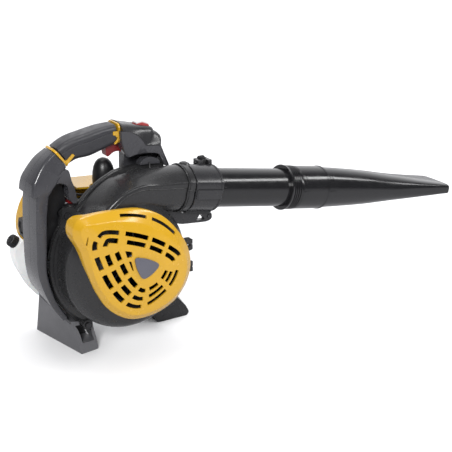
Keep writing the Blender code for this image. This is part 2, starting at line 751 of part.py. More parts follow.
def build_fuel_cap():
    teeth = 12
    level, up = side_axes(CAP_DIR)
    rings = []
    for along, radius in ((3.5, 14), (15, 14), (18, 11.5)):
        ring = []
        for k in range(teeth * 2):
            a = math.pi * k / teeth
            reach = radius * (1.0 if k % 2 else 0.92)
            ring.append(CAP_BASE + CAP_DIR * along + (level * math.cos(a) + up * math.sin(a)) * reach)
        rings.append(ring)
    make_object("fuel_cap", skin(rings), BLACK_PLASTIC, CAP_BASE)


# --------------------------------------------------------------------- starter

def build_starter():
    centre = (0, 0, CRANK_Z)
    wall = tube_ring(centre, (0, 1, 0), 48, 51, STARTER_Y, 112, 24)
    housing = make_object("starter_housing", wall, BLACK_PLASTIC)
    fuse(housing, rod(centre, (0, 1, 0), 49.5, 109, 112, 24))
    fuse(housing, rod(centre, (0, 1, 0), 5, 93, 110, 14))
    for k in range(8):
        a = 2 * math.pi * (k + 0.5) / 8
        x, z = 36 * math.cos(a), CRANK_Z + 36 * math.sin(a)
        cut(housing, rod((x, 105, z), (0, 1, 0), 4.5, 0, 10, 8))
    cut(housing, rod((ROPE_X, ROPE_Y, 180), (0, 0, 1), 2.6, 0, 50, 10))
    groove = [(5.5, 94.5), (31, 94.5), (31, 96.5), (PULLEY_CORE, 97), (PULLEY_CORE, 103)]
    groove += [(31, 103.5), (31, 105.5), (5.5, 105.5)]
    make_object("starter_pulley", lathe(groove, centre, (0, 1, 0), 32), BLACK_PLASTIC, centre)
    coil = tube_ring(centre, (0, 1, 0), PULLEY_CORE + GAP, 30.4, 98, 102, 32)
    make_object("starter_rope", coil, PAPER, centre)
    grip = rounded([(6, 223.5), (51, 223.5), (54, 232), (48, 241), (9, 241), (3, 232)], 5, 2)
    handle = make_object("starter_handle", prism(grip, 93.5, 106.5), BLACK_PLASTIC, (ROPE_X, ROPE_Y, 212))
    fuse(handle, rod((ROPE_X, ROPE_Y, 0), (0, 0, 1), 6, 217, 226, 14))
    cut(handle, rod((ROPE_X, ROPE_Y, 0), (0, 0, 1), 2.2, 210, 232, 10))
    return housing, handle


# --------------------------------------------------------------- frame and feet

def build_rear_frame():
    """The upright of the chassis: its round top stands in the fork of the handle."""
    outer = [(-66, 62), (-82, 80), (-98, 106), (-107, 134), (-110, 165), (-108, 200), (-106, 240)]
    outer += [(-106, 280)]
    top = arc(-95, 282, 11, 170, 20, 4)
    inner = [(-80, 262), (-86, 235), (-92, 200), (-94, 165), (-90, 132), (-78, 104), (-62, 80), (-52, 66)]
    outline = outer + top + inner
    frame = make_object("rear_frame", prism(outline, -7.5, 22), DARK_PLASTIC)
    cut(frame, rod((-86, -12, 243), (0, 1, 0), 7.2, 0, 9, 12))
    cut(frame, rod((-61, -12, 55), (0, 1, 0), 7.2, 0, 9, 12))
    return frame


def build_rear_foot():
    low = [(-96, 111, 0), (-69, -13, 0), (-38, -9, 0), (-62, 114, 0)]
    high = [(-93, 94, 74), (-83, -9.3, 60), (-62, -9.3, 54), (-66, 97, 56)]
    bm = skin([[Vector(point) for point in low], [Vector(point) for point in high]])
    foot = make_object("rear_foot", bm, GREY_PLASTIC)
    pocket_low = [(-63, 30), (-62, -20), (-42, -20), (-48, 30)]
    pocket_high = [(-74, 30), (-78, -20), (-64, -20), (-66, 30)]
    floor = [Vector((x, y, 5)) for x, y in pocket_low]
    pocket = skin([floor, [Vector((x, y, 49)) for x, y in pocket_high]])
    cut(foot, pocket, rod((-61, -12, 55), (0, 1, 0), 7.2, 0, 9, 12))
    return foot


def build_front_foot():
    """A wedge under the front of the fan, hollow from its far side, on an arm from the housing."""
    wedge = [(84, 0), (150, 0), (156, 6), (146, 24), (124, 40), (98, 62), (72, 62), (72, 44)]
    foot = make_object("front_foot", prism(rounded(wedge, 4, 2), 26, 62), DARK_PLASTIC)
    cut(foot, prism([(92, 6), (140, 6), (132, 22), (112, 36), (92, 46)], 34, 70))
    plate = rounded([(52, 62), (66, 44), (108, 44), (100, 96), (84, 118), (58, 112)], 6, 2)
    fuse(foot, prism(plate, -9.6, -3), block((74, -5, 50), (96, 30, 60)))
    return foot


def build_dampers():
    profile = [(5, -8.6), (15, -8.6), (17, -6.5), (15, -4.5), (17, -2.5), (15, -0.6), (5, -0.6)]
    make_object("front_damper", lathe(profile, (62, 0, 292), (0, 1, 0), 24), SOFT_RUBBER)
    pad = arc(-95, 282, 11.5, 130, 50, 6) + arc(-94, 281, 16.1, 50, 130, 6)
    make_object("rear_damper", prism(pad, -7, 20), SOFT_RUBBER)


# ----------------------------------------------------------------------- handle

def arch_section(x, z, angle, thickness, low, high, rise=0.0):
    """A section of the arch with soft corners. Its thickness lies along the angle given in degrees,
    and rise lifts its engine side and lowers its fan side."""
    a = math.radians(angle)
    out = Vector((math.cos(a), 0, math.sin(a)))
    middle, half = (low + high) / 2, (high - low) / 2
    ring = []
    corner = min(thickness, half) * 0.5
    for sy, st in ((-1, -1), (1, -1), (1, 1), (-1, 1)):
        first = Vector((sy * (half - corner), st * thickness))
        second = Vector((sy * half, st * (thickness - corner)))
        for flat in ((second, first) if sy * st > 0 else (first, second)):
            ring.append(Vector((x, middle + flat.x, z + rise * flat.x / half)) + out * flat.y)
    return ring


BAND = (
    (-93, 76, 214, 4.5, -13, 95, 8), (-115, 109, 207, 5.5, -22, 62, 4), (-131, 156, 192, 7, -30, 30),
    (-130, 200, 180, 8, -30, 30), (-128, 240, 176, 8.5, -30, 30), (-126, 262, 172, 9, -30, 30),
    (-125, 277, 168, 15, -29, 29), (-117, 298, 156, 18, -27, 27), (-103, 317, 140, 18, -23, 23),
    (-89, 329, 128, 16.5, -19, 19),
)
CORE = (
    (-99, 320, 134, 10, -10, 10), (-89, 329, 128, 10, -10, 10), (-74, 339, 112, 10, -10, 10),
    (-45, 345, 99, 10, -10, 10), (-15, 351, 96, 10, -10, 10), (12, 355.5, 88, 9, -10, 10),
    (30, 350, 84, 9, -10, 10),
)
GRIP = (
    (-83, 333, 126, 16, -18, 18), (-66, 341, 108, 16.5, -19, 19), (-42, 345, 99, 18, -20, 20),
    (-16, 351, 97, 17, -19, 19), (5, 355, 90, 14.5, -18, 18),
)
PRONG = (
    (-104, 300), (-87, 314), (-79, 314), (-77, 308), (-75, 296), (-71, 286), (-68, 268), (-67, 264),
    (-71, 265), (-78, 278),
)
TRIGGER_SLOT = ((-18, -9.5, 318), (30, 9.5, 350))


def arch(stations):
    return skin([arch_section(*station) for station in stations])


def head_outline():
    top = [(16, 366), (44, 359.5), (66, 353), (78, 341), (77.5, 331), (84, 308)]
    return top + [(72, 308), (70, 318), (28, 320), (17.5, 322)]


def column_outline():
    return [(24, 268), (76, 268), (84, 307), (78, 325), (26, 325)]


def build_handle_halves():
    """The moulded arch, split in its middle plane: rear band, core of the grip, and head."""
    halves = []
    for name, side in (("handle_right_half", -1), ("handle_left_half", 1)):
        half = make_object(name, arch(BAND), GREY_PLASTIC)
        fuse(half, arch(CORE), prism(head_outline(), -HEAD_HALF, HEAD_HALF + 2))
        if side > 0:
            fuse(half, prism(column_outline(), 1.5, 20))
        fuse(half, prism(PRONG, -24, 24))
        cut(half, rear_frame_pocket(), block(*TRIGGER_SLOT))
        cut(half, rod(TRIGGER_PIVOT, (0, 1, 0), 2.4, -30, 30, 12))
        other_side = sorted((side * GAP / 2, -side * 200))
        cut(half, block((-160, other_side[0], -10), (120, other_side[1], 400)))
        cut(half, block((38, -9.5, 340), (72, 9.5, 380)))
        halves.append(half)
    return halves


def rear_frame_pocket():
    """Room round the rounded top of the chassis upright, so that the handle can flex."""
    return prism(arc(-94, 281, 17, 200, -20, 8) + [(-80, 250), (-112, 250)], -40, 25)


def build_grip():
    grip = make_object("soft_grip", arch(GRIP), SOFT_RUBBER)
    hollow = [(x, z, angle, 10 + GAP, -10 - GAP, 10 + GAP) for x, z, angle, _, _, _ in CORE]
    hollow[0] = (-96, 324.3, 128, 10 + GAP, -10 - GAP, 10 + GAP)
    cut(grip, arch(hollow), block(*TRIGGER_SLOT))
    cut(grip, ring_zone("rear", GAP), ring_zone("front", GAP))
    for name, zone in (("grip_ring_rear", "rear"), ("grip_ring_front", "front")):
        stations = ring_stations(zone)
        ring = make_object(name, arch(stations), YELLOW)
        cut(ring, arch(hollow), block(*TRIGGER_SLOT))
    return grip


def ring_stations(zone):
    if zone == "rear":
        return ((-87.6, 330.2, 128, 17.2, -19.5, 19.5), (-84.2, 332.8, 127, 17.2, -19.5, 19.5))
    return ((7.2, 355.2, 90, 15.2, -18.6, 18.6), (11, 355.4, 89, 15.2, -18.6, 18.6))


def ring_zone(zone, margin):
    """The ring's place in the grip, a little wider than the ring."""
    first, last = ring_stations(zone)
    step = (Vector(last[:2]) - Vector(first[:2])).normalized()
    reach = margin + (6 if zone == "rear" else 0)
    start = Vector(first[:2]) - step * reach
    end = Vector(last[:2]) + step * (margin + (0 if zone == "rear" else 6))
    return arch(((*start, first[2], 30, -40, 40), (*end, last[2], 30, -40, 40)))


def build_head_cover():
    """The light band over the top and front of the head."""
    outer = [(12.2, 370.5), (45, 363.5), (70, 356.5), (72, 352), (83, 343.5), (82, 332), (94, 294)]
    inner = [(86, 294), (86.5, 300), (78.5, 330), (79.5, 341.5), (67, 354), (44.5, 361), (12.6, 367)]
    cover = make_object("head_cover", prism(outer + inner, -8.5, HEAD_HALF + 2), GREY_PLASTIC)
    outer = outer[:-1] + [(88.5, 307)]
    inner = [(84.6, 307)] + inner[2:]
    fuse(cover, prism(outer + inner, -HEAD_HALF, 0))
    cut(cover, block((40, -9, 340), (71, 9, 380)))
    return cover


def build_trigger():
    corners = [(-9, 338), (-9, 323), (-5, 320), (3, 326), (15, 324), (25, 331), (25, 341), (-3, 341)]
    outline = rounded(corners, 2.5, 2)
    trigger = make_object("throttle_trigger", prism(outline, -8, 8), RED_PLASTIC, TRIGGER_PIVOT)
    cut(trigger, rod(TRIGGER_PIVOT, (0, 1, 0), 2.4, -20, 20, 12))
    make_object("trigger_pin", rod(TRIGGER_PIVOT, (0, 1, 0), 2.0, -15, 15, 12), STEEL)
    return trigger


def build_stop_switch():
    outline = rounded([(43, 366.5), (56, 363), (68, 361), (67, 353), (44, 357)], 1.5, 2)
    make_object("stop_switch", prism(outline, -8, 8), SWITCH_RED, SWITCH_PIVOT)


def build_throttle_cable():
    """The sheathed cable from the column down to the carburettor."""
    path = catmull(((21, 4, 276), (2, 1, 268), (-28, 3, 262), (-47, 14, 259), (-51, 40, 258)), 3)
    rings = []
    for k, point in enumerate(path):
        ahead = Vector(path[min(k + 1, len(path) - 1)]) - Vector(path[max(k - 1, 0)])
        level, up = side_axes(ahead)
        turn = [2 * math.pi * i / 8 for i in range(8)]
        rings.append([Vector(point) + (level * math.cos(a) + up * math.sin(a)) * 1.8 for a in turn])
    make_object("throttle_cable", skin(rings), BLACK_PLASTIC)


def build():
    clear_scene()
    build_volute_shell()
    build_volute_back()
    build_cover_screws()
    build_outlet_collar()
    build_tube_clamp()
    build_clamp_knob()
    build_outlet_lug()
    build_blower_tube()
    build_nozzle()
    build_intake_grille()
    build_grille_badge()
    build_grille_hinge_pin()
    build_grille_latch()
    build_impeller()
    build_crankshaft()
    build_flywheel()
    build_bearings()
    build_crankcase()
    build_cylinder()
    build_piston()
    build_ignition()
    build_fuel_system()
    build_air_filter()
    build_muffler()
    build_engine_cover()
    build_fuel_tank()
    build_fuel_cap()
    build_starter()
    build_rear_frame()
    build_rear_foot()
    build_front_foot()
    build_dampers()
    build_handle_halves()
    build_grip()
    build_head_cover()
    build_trigger()
    build_stop_switch()
    build_throttle_cable()


build()
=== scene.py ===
"""Looks of the hand-held petrol leaf blower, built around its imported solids.

Frame: +X is the blow direction, +Y the engine side, +Z up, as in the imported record.
Shapes are worked out in millimetres and turned into metres when an object is made.
"""

import json
import math

import bmesh
import bpy
from mathutils import Matrix, Vector


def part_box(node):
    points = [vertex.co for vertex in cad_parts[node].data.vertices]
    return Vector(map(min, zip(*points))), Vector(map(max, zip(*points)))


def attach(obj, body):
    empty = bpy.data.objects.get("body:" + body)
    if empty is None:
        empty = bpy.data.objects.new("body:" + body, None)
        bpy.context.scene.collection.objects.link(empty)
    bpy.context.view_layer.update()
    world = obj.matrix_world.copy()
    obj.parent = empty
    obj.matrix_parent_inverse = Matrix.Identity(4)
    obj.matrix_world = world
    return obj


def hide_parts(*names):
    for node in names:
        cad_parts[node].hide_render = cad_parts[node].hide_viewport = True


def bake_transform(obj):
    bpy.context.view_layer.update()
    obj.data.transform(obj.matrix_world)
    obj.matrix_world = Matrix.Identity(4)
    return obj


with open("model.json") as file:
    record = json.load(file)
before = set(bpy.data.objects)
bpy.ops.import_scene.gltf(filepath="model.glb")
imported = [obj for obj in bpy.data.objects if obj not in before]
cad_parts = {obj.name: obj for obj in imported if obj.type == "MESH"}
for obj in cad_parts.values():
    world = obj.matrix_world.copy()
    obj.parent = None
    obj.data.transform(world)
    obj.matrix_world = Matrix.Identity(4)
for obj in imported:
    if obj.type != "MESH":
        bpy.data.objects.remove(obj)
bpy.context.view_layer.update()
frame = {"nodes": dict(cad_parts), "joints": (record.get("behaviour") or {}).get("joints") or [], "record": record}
JOINTS = {joint["name"]: joint for joint in frame["joints"]}
NODE_SLOT = {part["node"]: part["material_slot"] for part in frame["record"]["subparts"]}

MM = 0.001
GAP = 0.4

# Shapes are drawn in millimetres from the point under the crank axis, which the frame has here.
START = Vector((JOINTS["crank_spin"]["pos_m"][0], 0, 0))
TO_FRAME = Matrix.Translation(START) @ Matrix.Scale(MM, 4)


def drawn(joint):
    """A joint's place, as the shapes are drawn."""
    return (Vector(JOINTS[joint]["pos_m"]) - START) / MM


CRANK_Z = drawn("crank_spin").z
OUTLET = drawn("tube_twist")
TUBE_DIR = Vector(JOINTS["tube_twist"]["axis"]).normalized()
HINGE_X, HINGE_Y = drawn("grille_open")[:2]
TRIGGER_PIVOT = drawn("trigger_squeeze")
KNOB = drawn("clamp_knob_turn")
CAP_BASE = drawn("fuel_cap_turn")
CAP_DIR = Vector(JOINTS["fuel_cap_turn"]["axis"]).normalized()


# ------------------------------------------------------------------ materials

class Shader:
    """A node material under construction, with short ways to add and join nodes."""

    def __init__(self, name):
        self.material = bpy.data.materials.new(name)
        self.material.use_nodes = True
        self.nodes = self.material.node_tree.nodes
        self.links = self.material.node_tree.links
        self.surface = self.nodes["Principled BSDF"]
        self.place = self.add("ShaderNodeTexCoord").outputs["Object"]

    def add(self, kind, **settings):
        node = self.nodes.new(kind)
        for key, value in settings.items():
            setattr(node, key, value)
        return node

    def join(self, source, node, slot):
        self.links.new(source, node.inputs[slot])

    def noise(self, scale, detail=2.0, stretch=(1, 1, 1)):
        mapping = self.add("ShaderNodeMapping")
        mapping.inputs["Scale"].default_value = stretch
        self.join(self.place, mapping, "Vector")
        noise = self.add("ShaderNodeTexNoise")
        noise.inputs["Scale"].default_value = scale
        noise.inputs["Detail"].default_value = detail
        self.join(mapping.outputs["Vector"], noise, "Vector")
        return noise.outputs["Fac"]

    def spread(self, source, low, high, start=0.35, end=0.65):
        """Maps a texture value onto low..high."""
        node = self.add("ShaderNodeMapRange")
        for slot, value in (("From Min", start), ("From Max", end), ("To Min", low), ("To Max", high)):
            node.inputs[slot].default_value = value
        self.join(source, node, "Value")
        return node.outputs["Result"]

    def mix(self, factor, first, second, blend="MIX"):
        node = self.add("ShaderNodeMix", data_type="RGBA", blend_type=blend)
        if isinstance(factor, float):
            node.inputs["Factor"].default_value = factor
        else:
            self.join(factor, node, "Factor")
        for slot, value in ((6, first), (7, second)):
            if isinstance(value, tuple):
                node.inputs[slot].default_value = (*value, 1.0)
            else:
                self.links.new(value, node.inputs[slot])
        return node.outputs[2]

    def bump(self, height, strength, distance, normal=None):
        node = self.add("ShaderNodeBump")
        node.inputs["Strength"].default_value = strength
        node.inputs["Distance"].default_value = distance
        self.join(height, node, "Height")
        if normal is not None:
            self.join(normal, node, "Normal")
        return node.outputs["Normal"]

    def soft_edges(self, radius):
        node = self.add("ShaderNodeBevel", samples=4)
        node.inputs["Radius"].default_value = radius
        return node.outputs["Normal"]

    def edge_mask(self, radius, gain):
        """1 on convex and concave edges, 0 on flat stretches."""
        soft = self.soft_edges(radius)
        geometry = self.add("ShaderNodeNewGeometry")
        dot = self.add("ShaderNodeVectorMath", operation="DOT_PRODUCT")
        self.join(soft, dot, 0)
        self.join(geometry.outputs["Normal"], dot, 1)
        return self.spread(dot.outputs["Value"], gain, 0.0, 0.80, 0.995)

    def set(self, **values):
        for key, value in values.items():
            slot = key.replace("_", " ").title().replace("Ior", "IOR")
            if isinstance(value, tuple):
                value = (*value, 1.0)
            if hasattr(value, "links") or hasattr(value, "is_linked"):
                self.links.new(value, self.surface.inputs[slot])
            else:
                self.surface.inputs[slot].default_value = value


def lighter(colour, factor):
    return tuple(min(1.0, channel * factor) for channel in colour)


def moulded(name, colour, roughness, grain=0.12, grain_scale=1400, mottle=0.06, edge=0.30, round_to=0.0005,
            coat=0.0):
    """Injection-moulded plastic: fine grain, faint cloudiness, a shiny skin, and edges painted lighter: partly
    scuffing, partly a painted highlight.
    """
    shader = Shader(name)
    cloud = shader.spread(shader.noise(22, 3), 0.0, 1.0)
    base = shader.mix(cloud, lighter(colour, 1 - mottle), lighter(colour, 1 + mottle))
    if edge:
        # Lighter colour on every edge: partly scuffing, partly a painted highlight along the edges.
        base = shader.mix(shader.edge_mask(0.0006, edge), base, lighter(colour, 1.9))
    shader.set(base_color=base, specular_ior_level=0.5, coat_weight=coat, coat_roughness=0.12)
    shader.set(roughness=shader.spread(shader.noise(60, 4), roughness - 0.03, roughness + 0.05))
    soft = shader.soft_edges(round_to) if edge else None
    shader.set(normal=shader.bump(shader.noise(grain_scale, 3), grain, 0.00006, soft))
    return shader.material


def rubber(name, colour, roughness=0.72, pit_scale=900):
    """Soft rubber: pitted, matt, greyer where it is rubbed."""
    shader = Shader(name)
    dust = shader.spread(shader.noise(30, 5), 0.0, 0.35)
    shader.set(base_color=shader.mix(dust, colour, lighter(colour, 1.7)))
    shader.set(roughness=shader.spread(shader.noise(80, 3), roughness - 0.08, roughness + 0.08))
    pits = shader.add("ShaderNodeTexVoronoi")
    pits.inputs["Scale"].default_value = pit_scale
    shader.join(shader.place, pits, "Vector")
    shader.set(normal=shader.bump(pits.outputs["Distance"], 0.25, 0.00012, shader.soft_edges(0.0008)))
    return shader.material


def metal(name, colour, roughness, stretch=(1, 1, 1), scale=350, strength=0.15):
    """Cast or machined metal. A stretched grain reads as brushed."""
    shader = Shader(name)
    stain = shader.spread(shader.noise(35, 4), 0.0, 0.5)
    shader.set(base_color=shader.mix(stain, colour, lighter(colour, 0.7)), metallic=1.0)
    shader.set(roughness=shader.spread(shader.noise(90, 3), roughness - 0.08, roughness + 0.10))
    grain = shader.noise(scale, 4, stretch)
    shader.set(normal=shader.bump(grain, strength, 0.0003, shader.soft_edges(0.0004)))
    return shader.material


def tank_plastic(name, colour):
    """Milky tank plastic: lets light in, and is darker towards the bottom."""
    shader = Shader(name)
    split = shader.add("ShaderNodeSeparateXYZ")
    shader.join(shader.place, split, 0)
    # Darker below about 85 mm up: a plain colour change towards the bottom.
    level = shader.spread(split.outputs["Z"], 0.0, 1.0, 0.085, 0.125)
    base = shader.mix(level, lighter(colour, 0.80), colour)
    base = shader.mix(shader.spread(shader.noise(40, 3), 0.0, 0.12), base, lighter(colour, 0.8))
    shader.set(base_color=base, roughness=0.36, subsurface_weight=0.08, subsurface_scale=0.004)
    shader.set(normal=shader.bump(shader.noise(500, 2), 0.06, 0.0001, shader.soft_edges(0.001)))
    return shader.material


def pleated(name, colour):
    """Filter paper in pleats."""
    shader = Shader(name)
    wave = shader.add("ShaderNodeTexWave")
    wave.inputs["Scale"].default_value = 110
    shader.join(shader.place, wave, "Vector")
    # Painted shade: the pleat valleys are coloured darker, following the same wave as the bump.
    shader.set(base_color=shader.mix(wave.outputs["Fac"], lighter(colour, 0.75), colour), roughness=0.9)
    shader.set(normal=shader.bump(wave.outputs["Fac"], 0.5, 0.001))
    return shader.material


def braided(name, colour):
    """Braided cord: two crossing twists."""
    shader = Shader(name)
    twists = []
    for tilt in (1, -1):
        mapping = shader.add("ShaderNodeMapping")
        mapping.inputs["Rotation"].default_value = (0, 0.7 * tilt, 0.4)
        shader.join(shader.place, mapping, "Vector")
        wave = shader.add("ShaderNodeTexWave")
        wave.inputs["Scale"].default_value = 260
        shader.join(mapping.outputs["Vector"], wave, "Vector")
        twists.append(wave.outputs["Fac"])
    both = shader.add("ShaderNodeMath", operation="MULTIPLY")
    shader.join(twists[0], both, 0)
    shader.join(twists[1], both, 1)
    height = both.outputs["Value"]
    # Painted shade: the grooves between the twists are coloured darker, following the bump height.
    shader.set(base_color=shader.mix(height, lighter(colour, 0.5), colour), roughness=0.85)
    shader.set(normal=shader.bump(height, 0.6, 0.0005))
    return shader.material


LOOKS = {
    "yellow_plastic": moulded(
        "yellow_plastic", (0.47, 0.262, 0.010), 0.24, grain=0.03, mottle=0.015, edge=0, coat=0.35),
    "dark_plastic": moulded("dark_plastic", (0.019, 0.019, 0.020), 0.25, grain=0.02, edge=0),
    "grey_plastic": moulded("grey_plastic", (0.021, 0.021, 0.023), 0.25, grain=0.02, edge=0),
    "handle_grey": moulded(
        "handle_grey", (0.040, 0.040, 0.045), 0.24, grain=0.015, mottle=0.02, edge=0, coat=0.2
    ),
    "foot_grey": moulded("foot_grey", (0.105, 0.105, 0.112), 0.45, grain=0.16, edge=0.2),
    "tube_plastic": moulded("tube_plastic", (0.009, 0.009, 0.010), 0.18, grain=0.02, edge=0, coat=0.2),
    "black_plastic": moulded("black_plastic", (0.008, 0.008, 0.009), 0.36, grain=0.16),
    "badge_grey": moulded("badge_grey", (0.085, 0.085, 0.105), 0.40, grain=0.08, mottle=0.04),
    "red_plastic": moulded("red_plastic", (0.16, 0.010, 0.012), 0.28, grain=0.05, edge=0.4),
    "switch_red": moulded("switch_red", (0.30, 0.03, 0.03), 0.35, grain=0.05),
    "switch_white": moulded("switch_white", (0.55, 0.53, 0.53), 0.40, grain=0.05, edge=0.1),
    "bulb_rubber": rubber("bulb_rubber", (0.55, 0.50, 0.40), 0.35, 300),
    "soft_rubber": rubber("soft_rubber", (0.020, 0.020, 0.022), 0.50),
    "grip_rubber": rubber("grip_rubber", (0.026, 0.026, 0.030), 0.40, 1100),
    "tank_white": tank_plastic("tank_white", (0.72, 0.73, 0.73)),
    "aluminium": metal("aluminium", (0.52, 0.52, 0.54), 0.45),
    "steel": metal("steel", (0.42, 0.42, 0.44), 0.30, (1, 8, 1), 200, 0.08),
    "black_steel": metal("black_steel", (0.09, 0.09, 0.095), 0.50),
    "filter_paper": pleated("filter_paper", (0.70, 0.62, 0.45)),
    "rope": braided("rope", (0.72, 0.70, 0.62)),
}


# -------------------------------------------------------------------- geometry

def make_piece(name, bm, slot, body, replaces=(), smooth_angle=35, bevel=0.0, segments=2):
    """Turns a bmesh in millimetres into a piece of the model that rides on a body."""
    bmesh.ops.recalc_face_normals(bm, faces=bm.faces)
    bm.transform(TO_FRAME)
    mesh = bpy.data.meshes.new(name)
    bm.to_mesh(mesh)
    bm.free()
    piece = bpy.data.objects.new(name, mesh)
    bpy.context.scene.collection.objects.link(piece)
    finish_piece(piece, slot, smooth_angle)
    if bevel:
        round_edges(piece, bevel, segments)
    if body:
        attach(piece, body)
    if replaces:
        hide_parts(*replaces)
    return piece


def finish_piece(piece, slot, smooth_angle=35):
    piece.data.materials.clear()
    piece.data.materials.append(LOOKS[slot])
    piece.data.shade_smooth()
    piece.data.set_sharp_from_angle(angle=math.radians(smooth_angle))


def settle(piece, slot, body, node, smooth_angle, edges=()):
    """Shades a piece that was cut or joined, rounds its edges by (width, segments, angle), and
    lets it ride on its body in place of its CAD node."""
    finish_piece(piece, slot, smooth_angle)
    if edges:
        round_edges(piece, *edges)
    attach(piece, body)
    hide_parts(node)


def round_edges(piece, width, segments=2, angle=32):
    modifier = piece.modifiers.new("round_edges", "BEVEL")
    modifier.width = width * MM
    modifier.segments = segments
    modifier.limit_method = "ANGLE"
    modifier.angle_limit = math.radians(angle)
    modifier.harden_normals = True
    modifier.use_clamp_overlap = True


def apply_modifiers(piece):
    graph = bpy.context.evaluated_depsgraph_get()
    mesh = bpy.data.meshes.new_from_object(piece.evaluated_get(graph))
    old = piece.data
    piece.modifiers.clear()
    piece.data = mesh
    mesh.name = old.name
    bpy.data.meshes.remove(old)


def combine(piece, operation, *shapes):
    """Joins or cuts shapes in millimetres, one after another, and keeps the result as the mesh."""
    helpers = []
    for bm in shapes:
        bmesh.ops.recalc_face_normals(bm, faces=bm.faces)
        bm.transform(TO_FRAME)
        mesh = bpy.data.meshes.new("helper")
        bm.to_mesh(mesh)
        bm.free()
        helper = bpy.data.objects.new("helper", mesh)
        bpy.context.scene.collection.objects.link(helper)
        helper.hide_render = True
        modifier = piece.modifiers.new("boolean", "BOOLEAN")
        modifier.operation = operation
        modifier.solver = "MANIFOLD"
        modifier.object = helper
        helpers.append(helper)
    apply_modifiers(piece)
    for helper in helpers:
        mesh = helper.data
        bpy.data.objects.remove(helper)
        bpy.data.meshes.remove(mesh)


def cut(piece, *shapes):
    combine(piece, "DIFFERENCE", *shapes)


def fuse(piece, *shapes):
    combine(piece, "UNION", *shapes)


def merged(*shapes):
    """Several closed shapes in one bmesh, kept apart."""
    whole = bmesh.new()
    for bm in shapes:
        bmesh.ops.recalc_face_normals(bm, faces=bm.faces)
        mesh = bpy.data.meshes.new("part")
        bm.to_mesh(mesh)
        bm.free()
        whole.from_mesh(mesh)
        bpy.data.meshes.remove(mesh)
    return whole


def skin(rings, closed_path=False, caps=True):
    """A surface through rings of equal length. Open paths get end caps."""
    bm = bmesh.new()
    loops = [[bm.verts.new(point) for point in ring] for ring in rings]
    count = len(loops[0])
    pairs = list(zip(loops, loops[1:]))
    if closed_path:
        pairs.append((loops[-1], loops[0]))
    for low, high in pairs:
        for i in range(count):
            j = (i + 1) % count
            bm.faces.new((low[i], low[j], high[j], high[i]))
    if caps and not closed_path:
        bm.faces.new(loops[0])
        bm.faces.new(loops[-1])
    return bm


def prism(outline, low, high):
    """An (x, z) outline extruded along Y."""
    return skin([[Vector((x, y, z)) for x, z in outline] for y in (low, high)])


def block(low, high):
    (x0, y0, z0), (x1, y1, z1) = low, high
    return prism([(x0, z0), (x1, z0), (x1, z1), (x0, z1)], y0, y1)


def side_axes(direction):
    """Two directions square to the given one. The first stays level."""
    direction = Vector(direction).normalized()
    level = Vector((0, 0, 1)).cross(direction)
    if level.length < 0.01:
        level = Vector((1, 0, 0))
    level.normalize()
    return level, direction.cross(level)


def turned(base, direction, profile, segments=48):
    """A closed profile of (radius, distance along the axis) turned about the axis."""
    direction = Vector(direction).normalized()
    base = Vector(base)
    level, up = side_axes(direction)
    rings = []
    for k in range(segments):
        angle = 2 * math.pi * k / segments
        out = level * math.cos(angle) + up * math.sin(angle)
        rings.append([base + out * r + direction * a for r, a in profile])
    return skin(rings, closed_path=True)


def turned_solid(base, direction, stations, segments=32):
    """A solid bar whose radius changes: stations are (radius, distance along the axis)."""
    direction = Vector(direction).normalized()
    base = Vector(base)
    level, up = side_axes(direction)
    rings = []
    for radius, along in stations:
        turn = [2 * math.pi * k / segments for k in range(segments)]
        rings.append([
            base + direction * along + (level * math.cos(a) + up * math.sin(a)) * radius
            for a in turn
        ])
    return skin(rings)


def rod(base, direction, radius, low, high, segments=32):
    return turned_solid(base, direction, [(radius, low), (radius, high)], segments)


def arc(centre_x, centre_z, radius, start, end, steps):
    """Points on a circle, with angles in degrees from +X towards +Z."""
    angles = [math.radians(start + (end - start) * k / steps) for k in range(steps + 1)]
    return [(centre_x + radius * math.cos(a), centre_z + radius * math.sin(a)) for a in angles]


def catmull(points, steps, closed=False):
    """A smooth curve through the points."""
    count = len(points)
    curve = []
    for i in range(count if closed else count - 1):
        curve += [curve_point(points, i + s / steps, closed) for s in range(steps)]
    if not closed:
        curve.append(tuple(points[-1]))
    return curve


def curve_point(points, place, closed=True):
    """The point at a place counted in control points along the smooth curve through them."""
    count = len(points)
    i = math.floor(place)
    t = place - i
    if closed:
        p0, p1, p2, p3 = (points[(i + k) % count] for k in (-1, 0, 1, 2))
    else:
        p0, p1, p2, p3 = (points[min(max(i + k, 0), count - 1)] for k in (-1, 0, 1, 2))
    return tuple(
        0.5 * (2 * b + (c - a) * t + (2 * a - 5 * b + 4 * c - d) * t * t
               + (3 * b - a - 3 * c + d) * t ** 3)
        for a, b, c, d in zip(p0, p1, p2, p3)
    )


def rounded(outline, radius, steps=6):
    """The outline with each corner turned into a short curve."""
    result = []
    count = len(outline)
    for i, corner in enumerate(outline):
        here = Vector(corner)
        before = Vector(outline[i - 1]) - here
        after = Vector(outline[(i + 1) % count]) - here
        reach = min(radius, before.length * 0.45, after.length * 0.45)
        start = here + before.normalized() * reach
        end = here + after.normalized() * reach
        for s in range(steps + 1):
            t = s / steps
            point = start * (1 - t) ** 2 + here * 2 * t * (1 - t) + end * t * t
            result.append(tuple(point))
    return result


def on_tube(along, level=0.0, up=0.0):
    """A point given by its distance along the tube, and its offsets square to it."""
    side, rise = side_axes(TUBE_DIR)
    return OUTLET + TUBE_DIR * along + side * level + rise * up


def tube_section(along, half_width, half_height, power, segments=72, rise=0.0):
    """A rounded section square to the tube. Power 2 is an ellipse, and higher is more square."""
    ring = []
    for k in range(segments):
        a = 2 * math.pi * k / segments
        c, s = math.cos(a), math.sin(a)
        x = math.copysign(abs(c) ** (2 / power), c) * half_width
        z = math.copysign(abs(s) ** (2 / power), s) * half_height
        ring.append(on_tube(along, x, z + rise))
    return ring


# --------------------------------------------------------------- intake grille

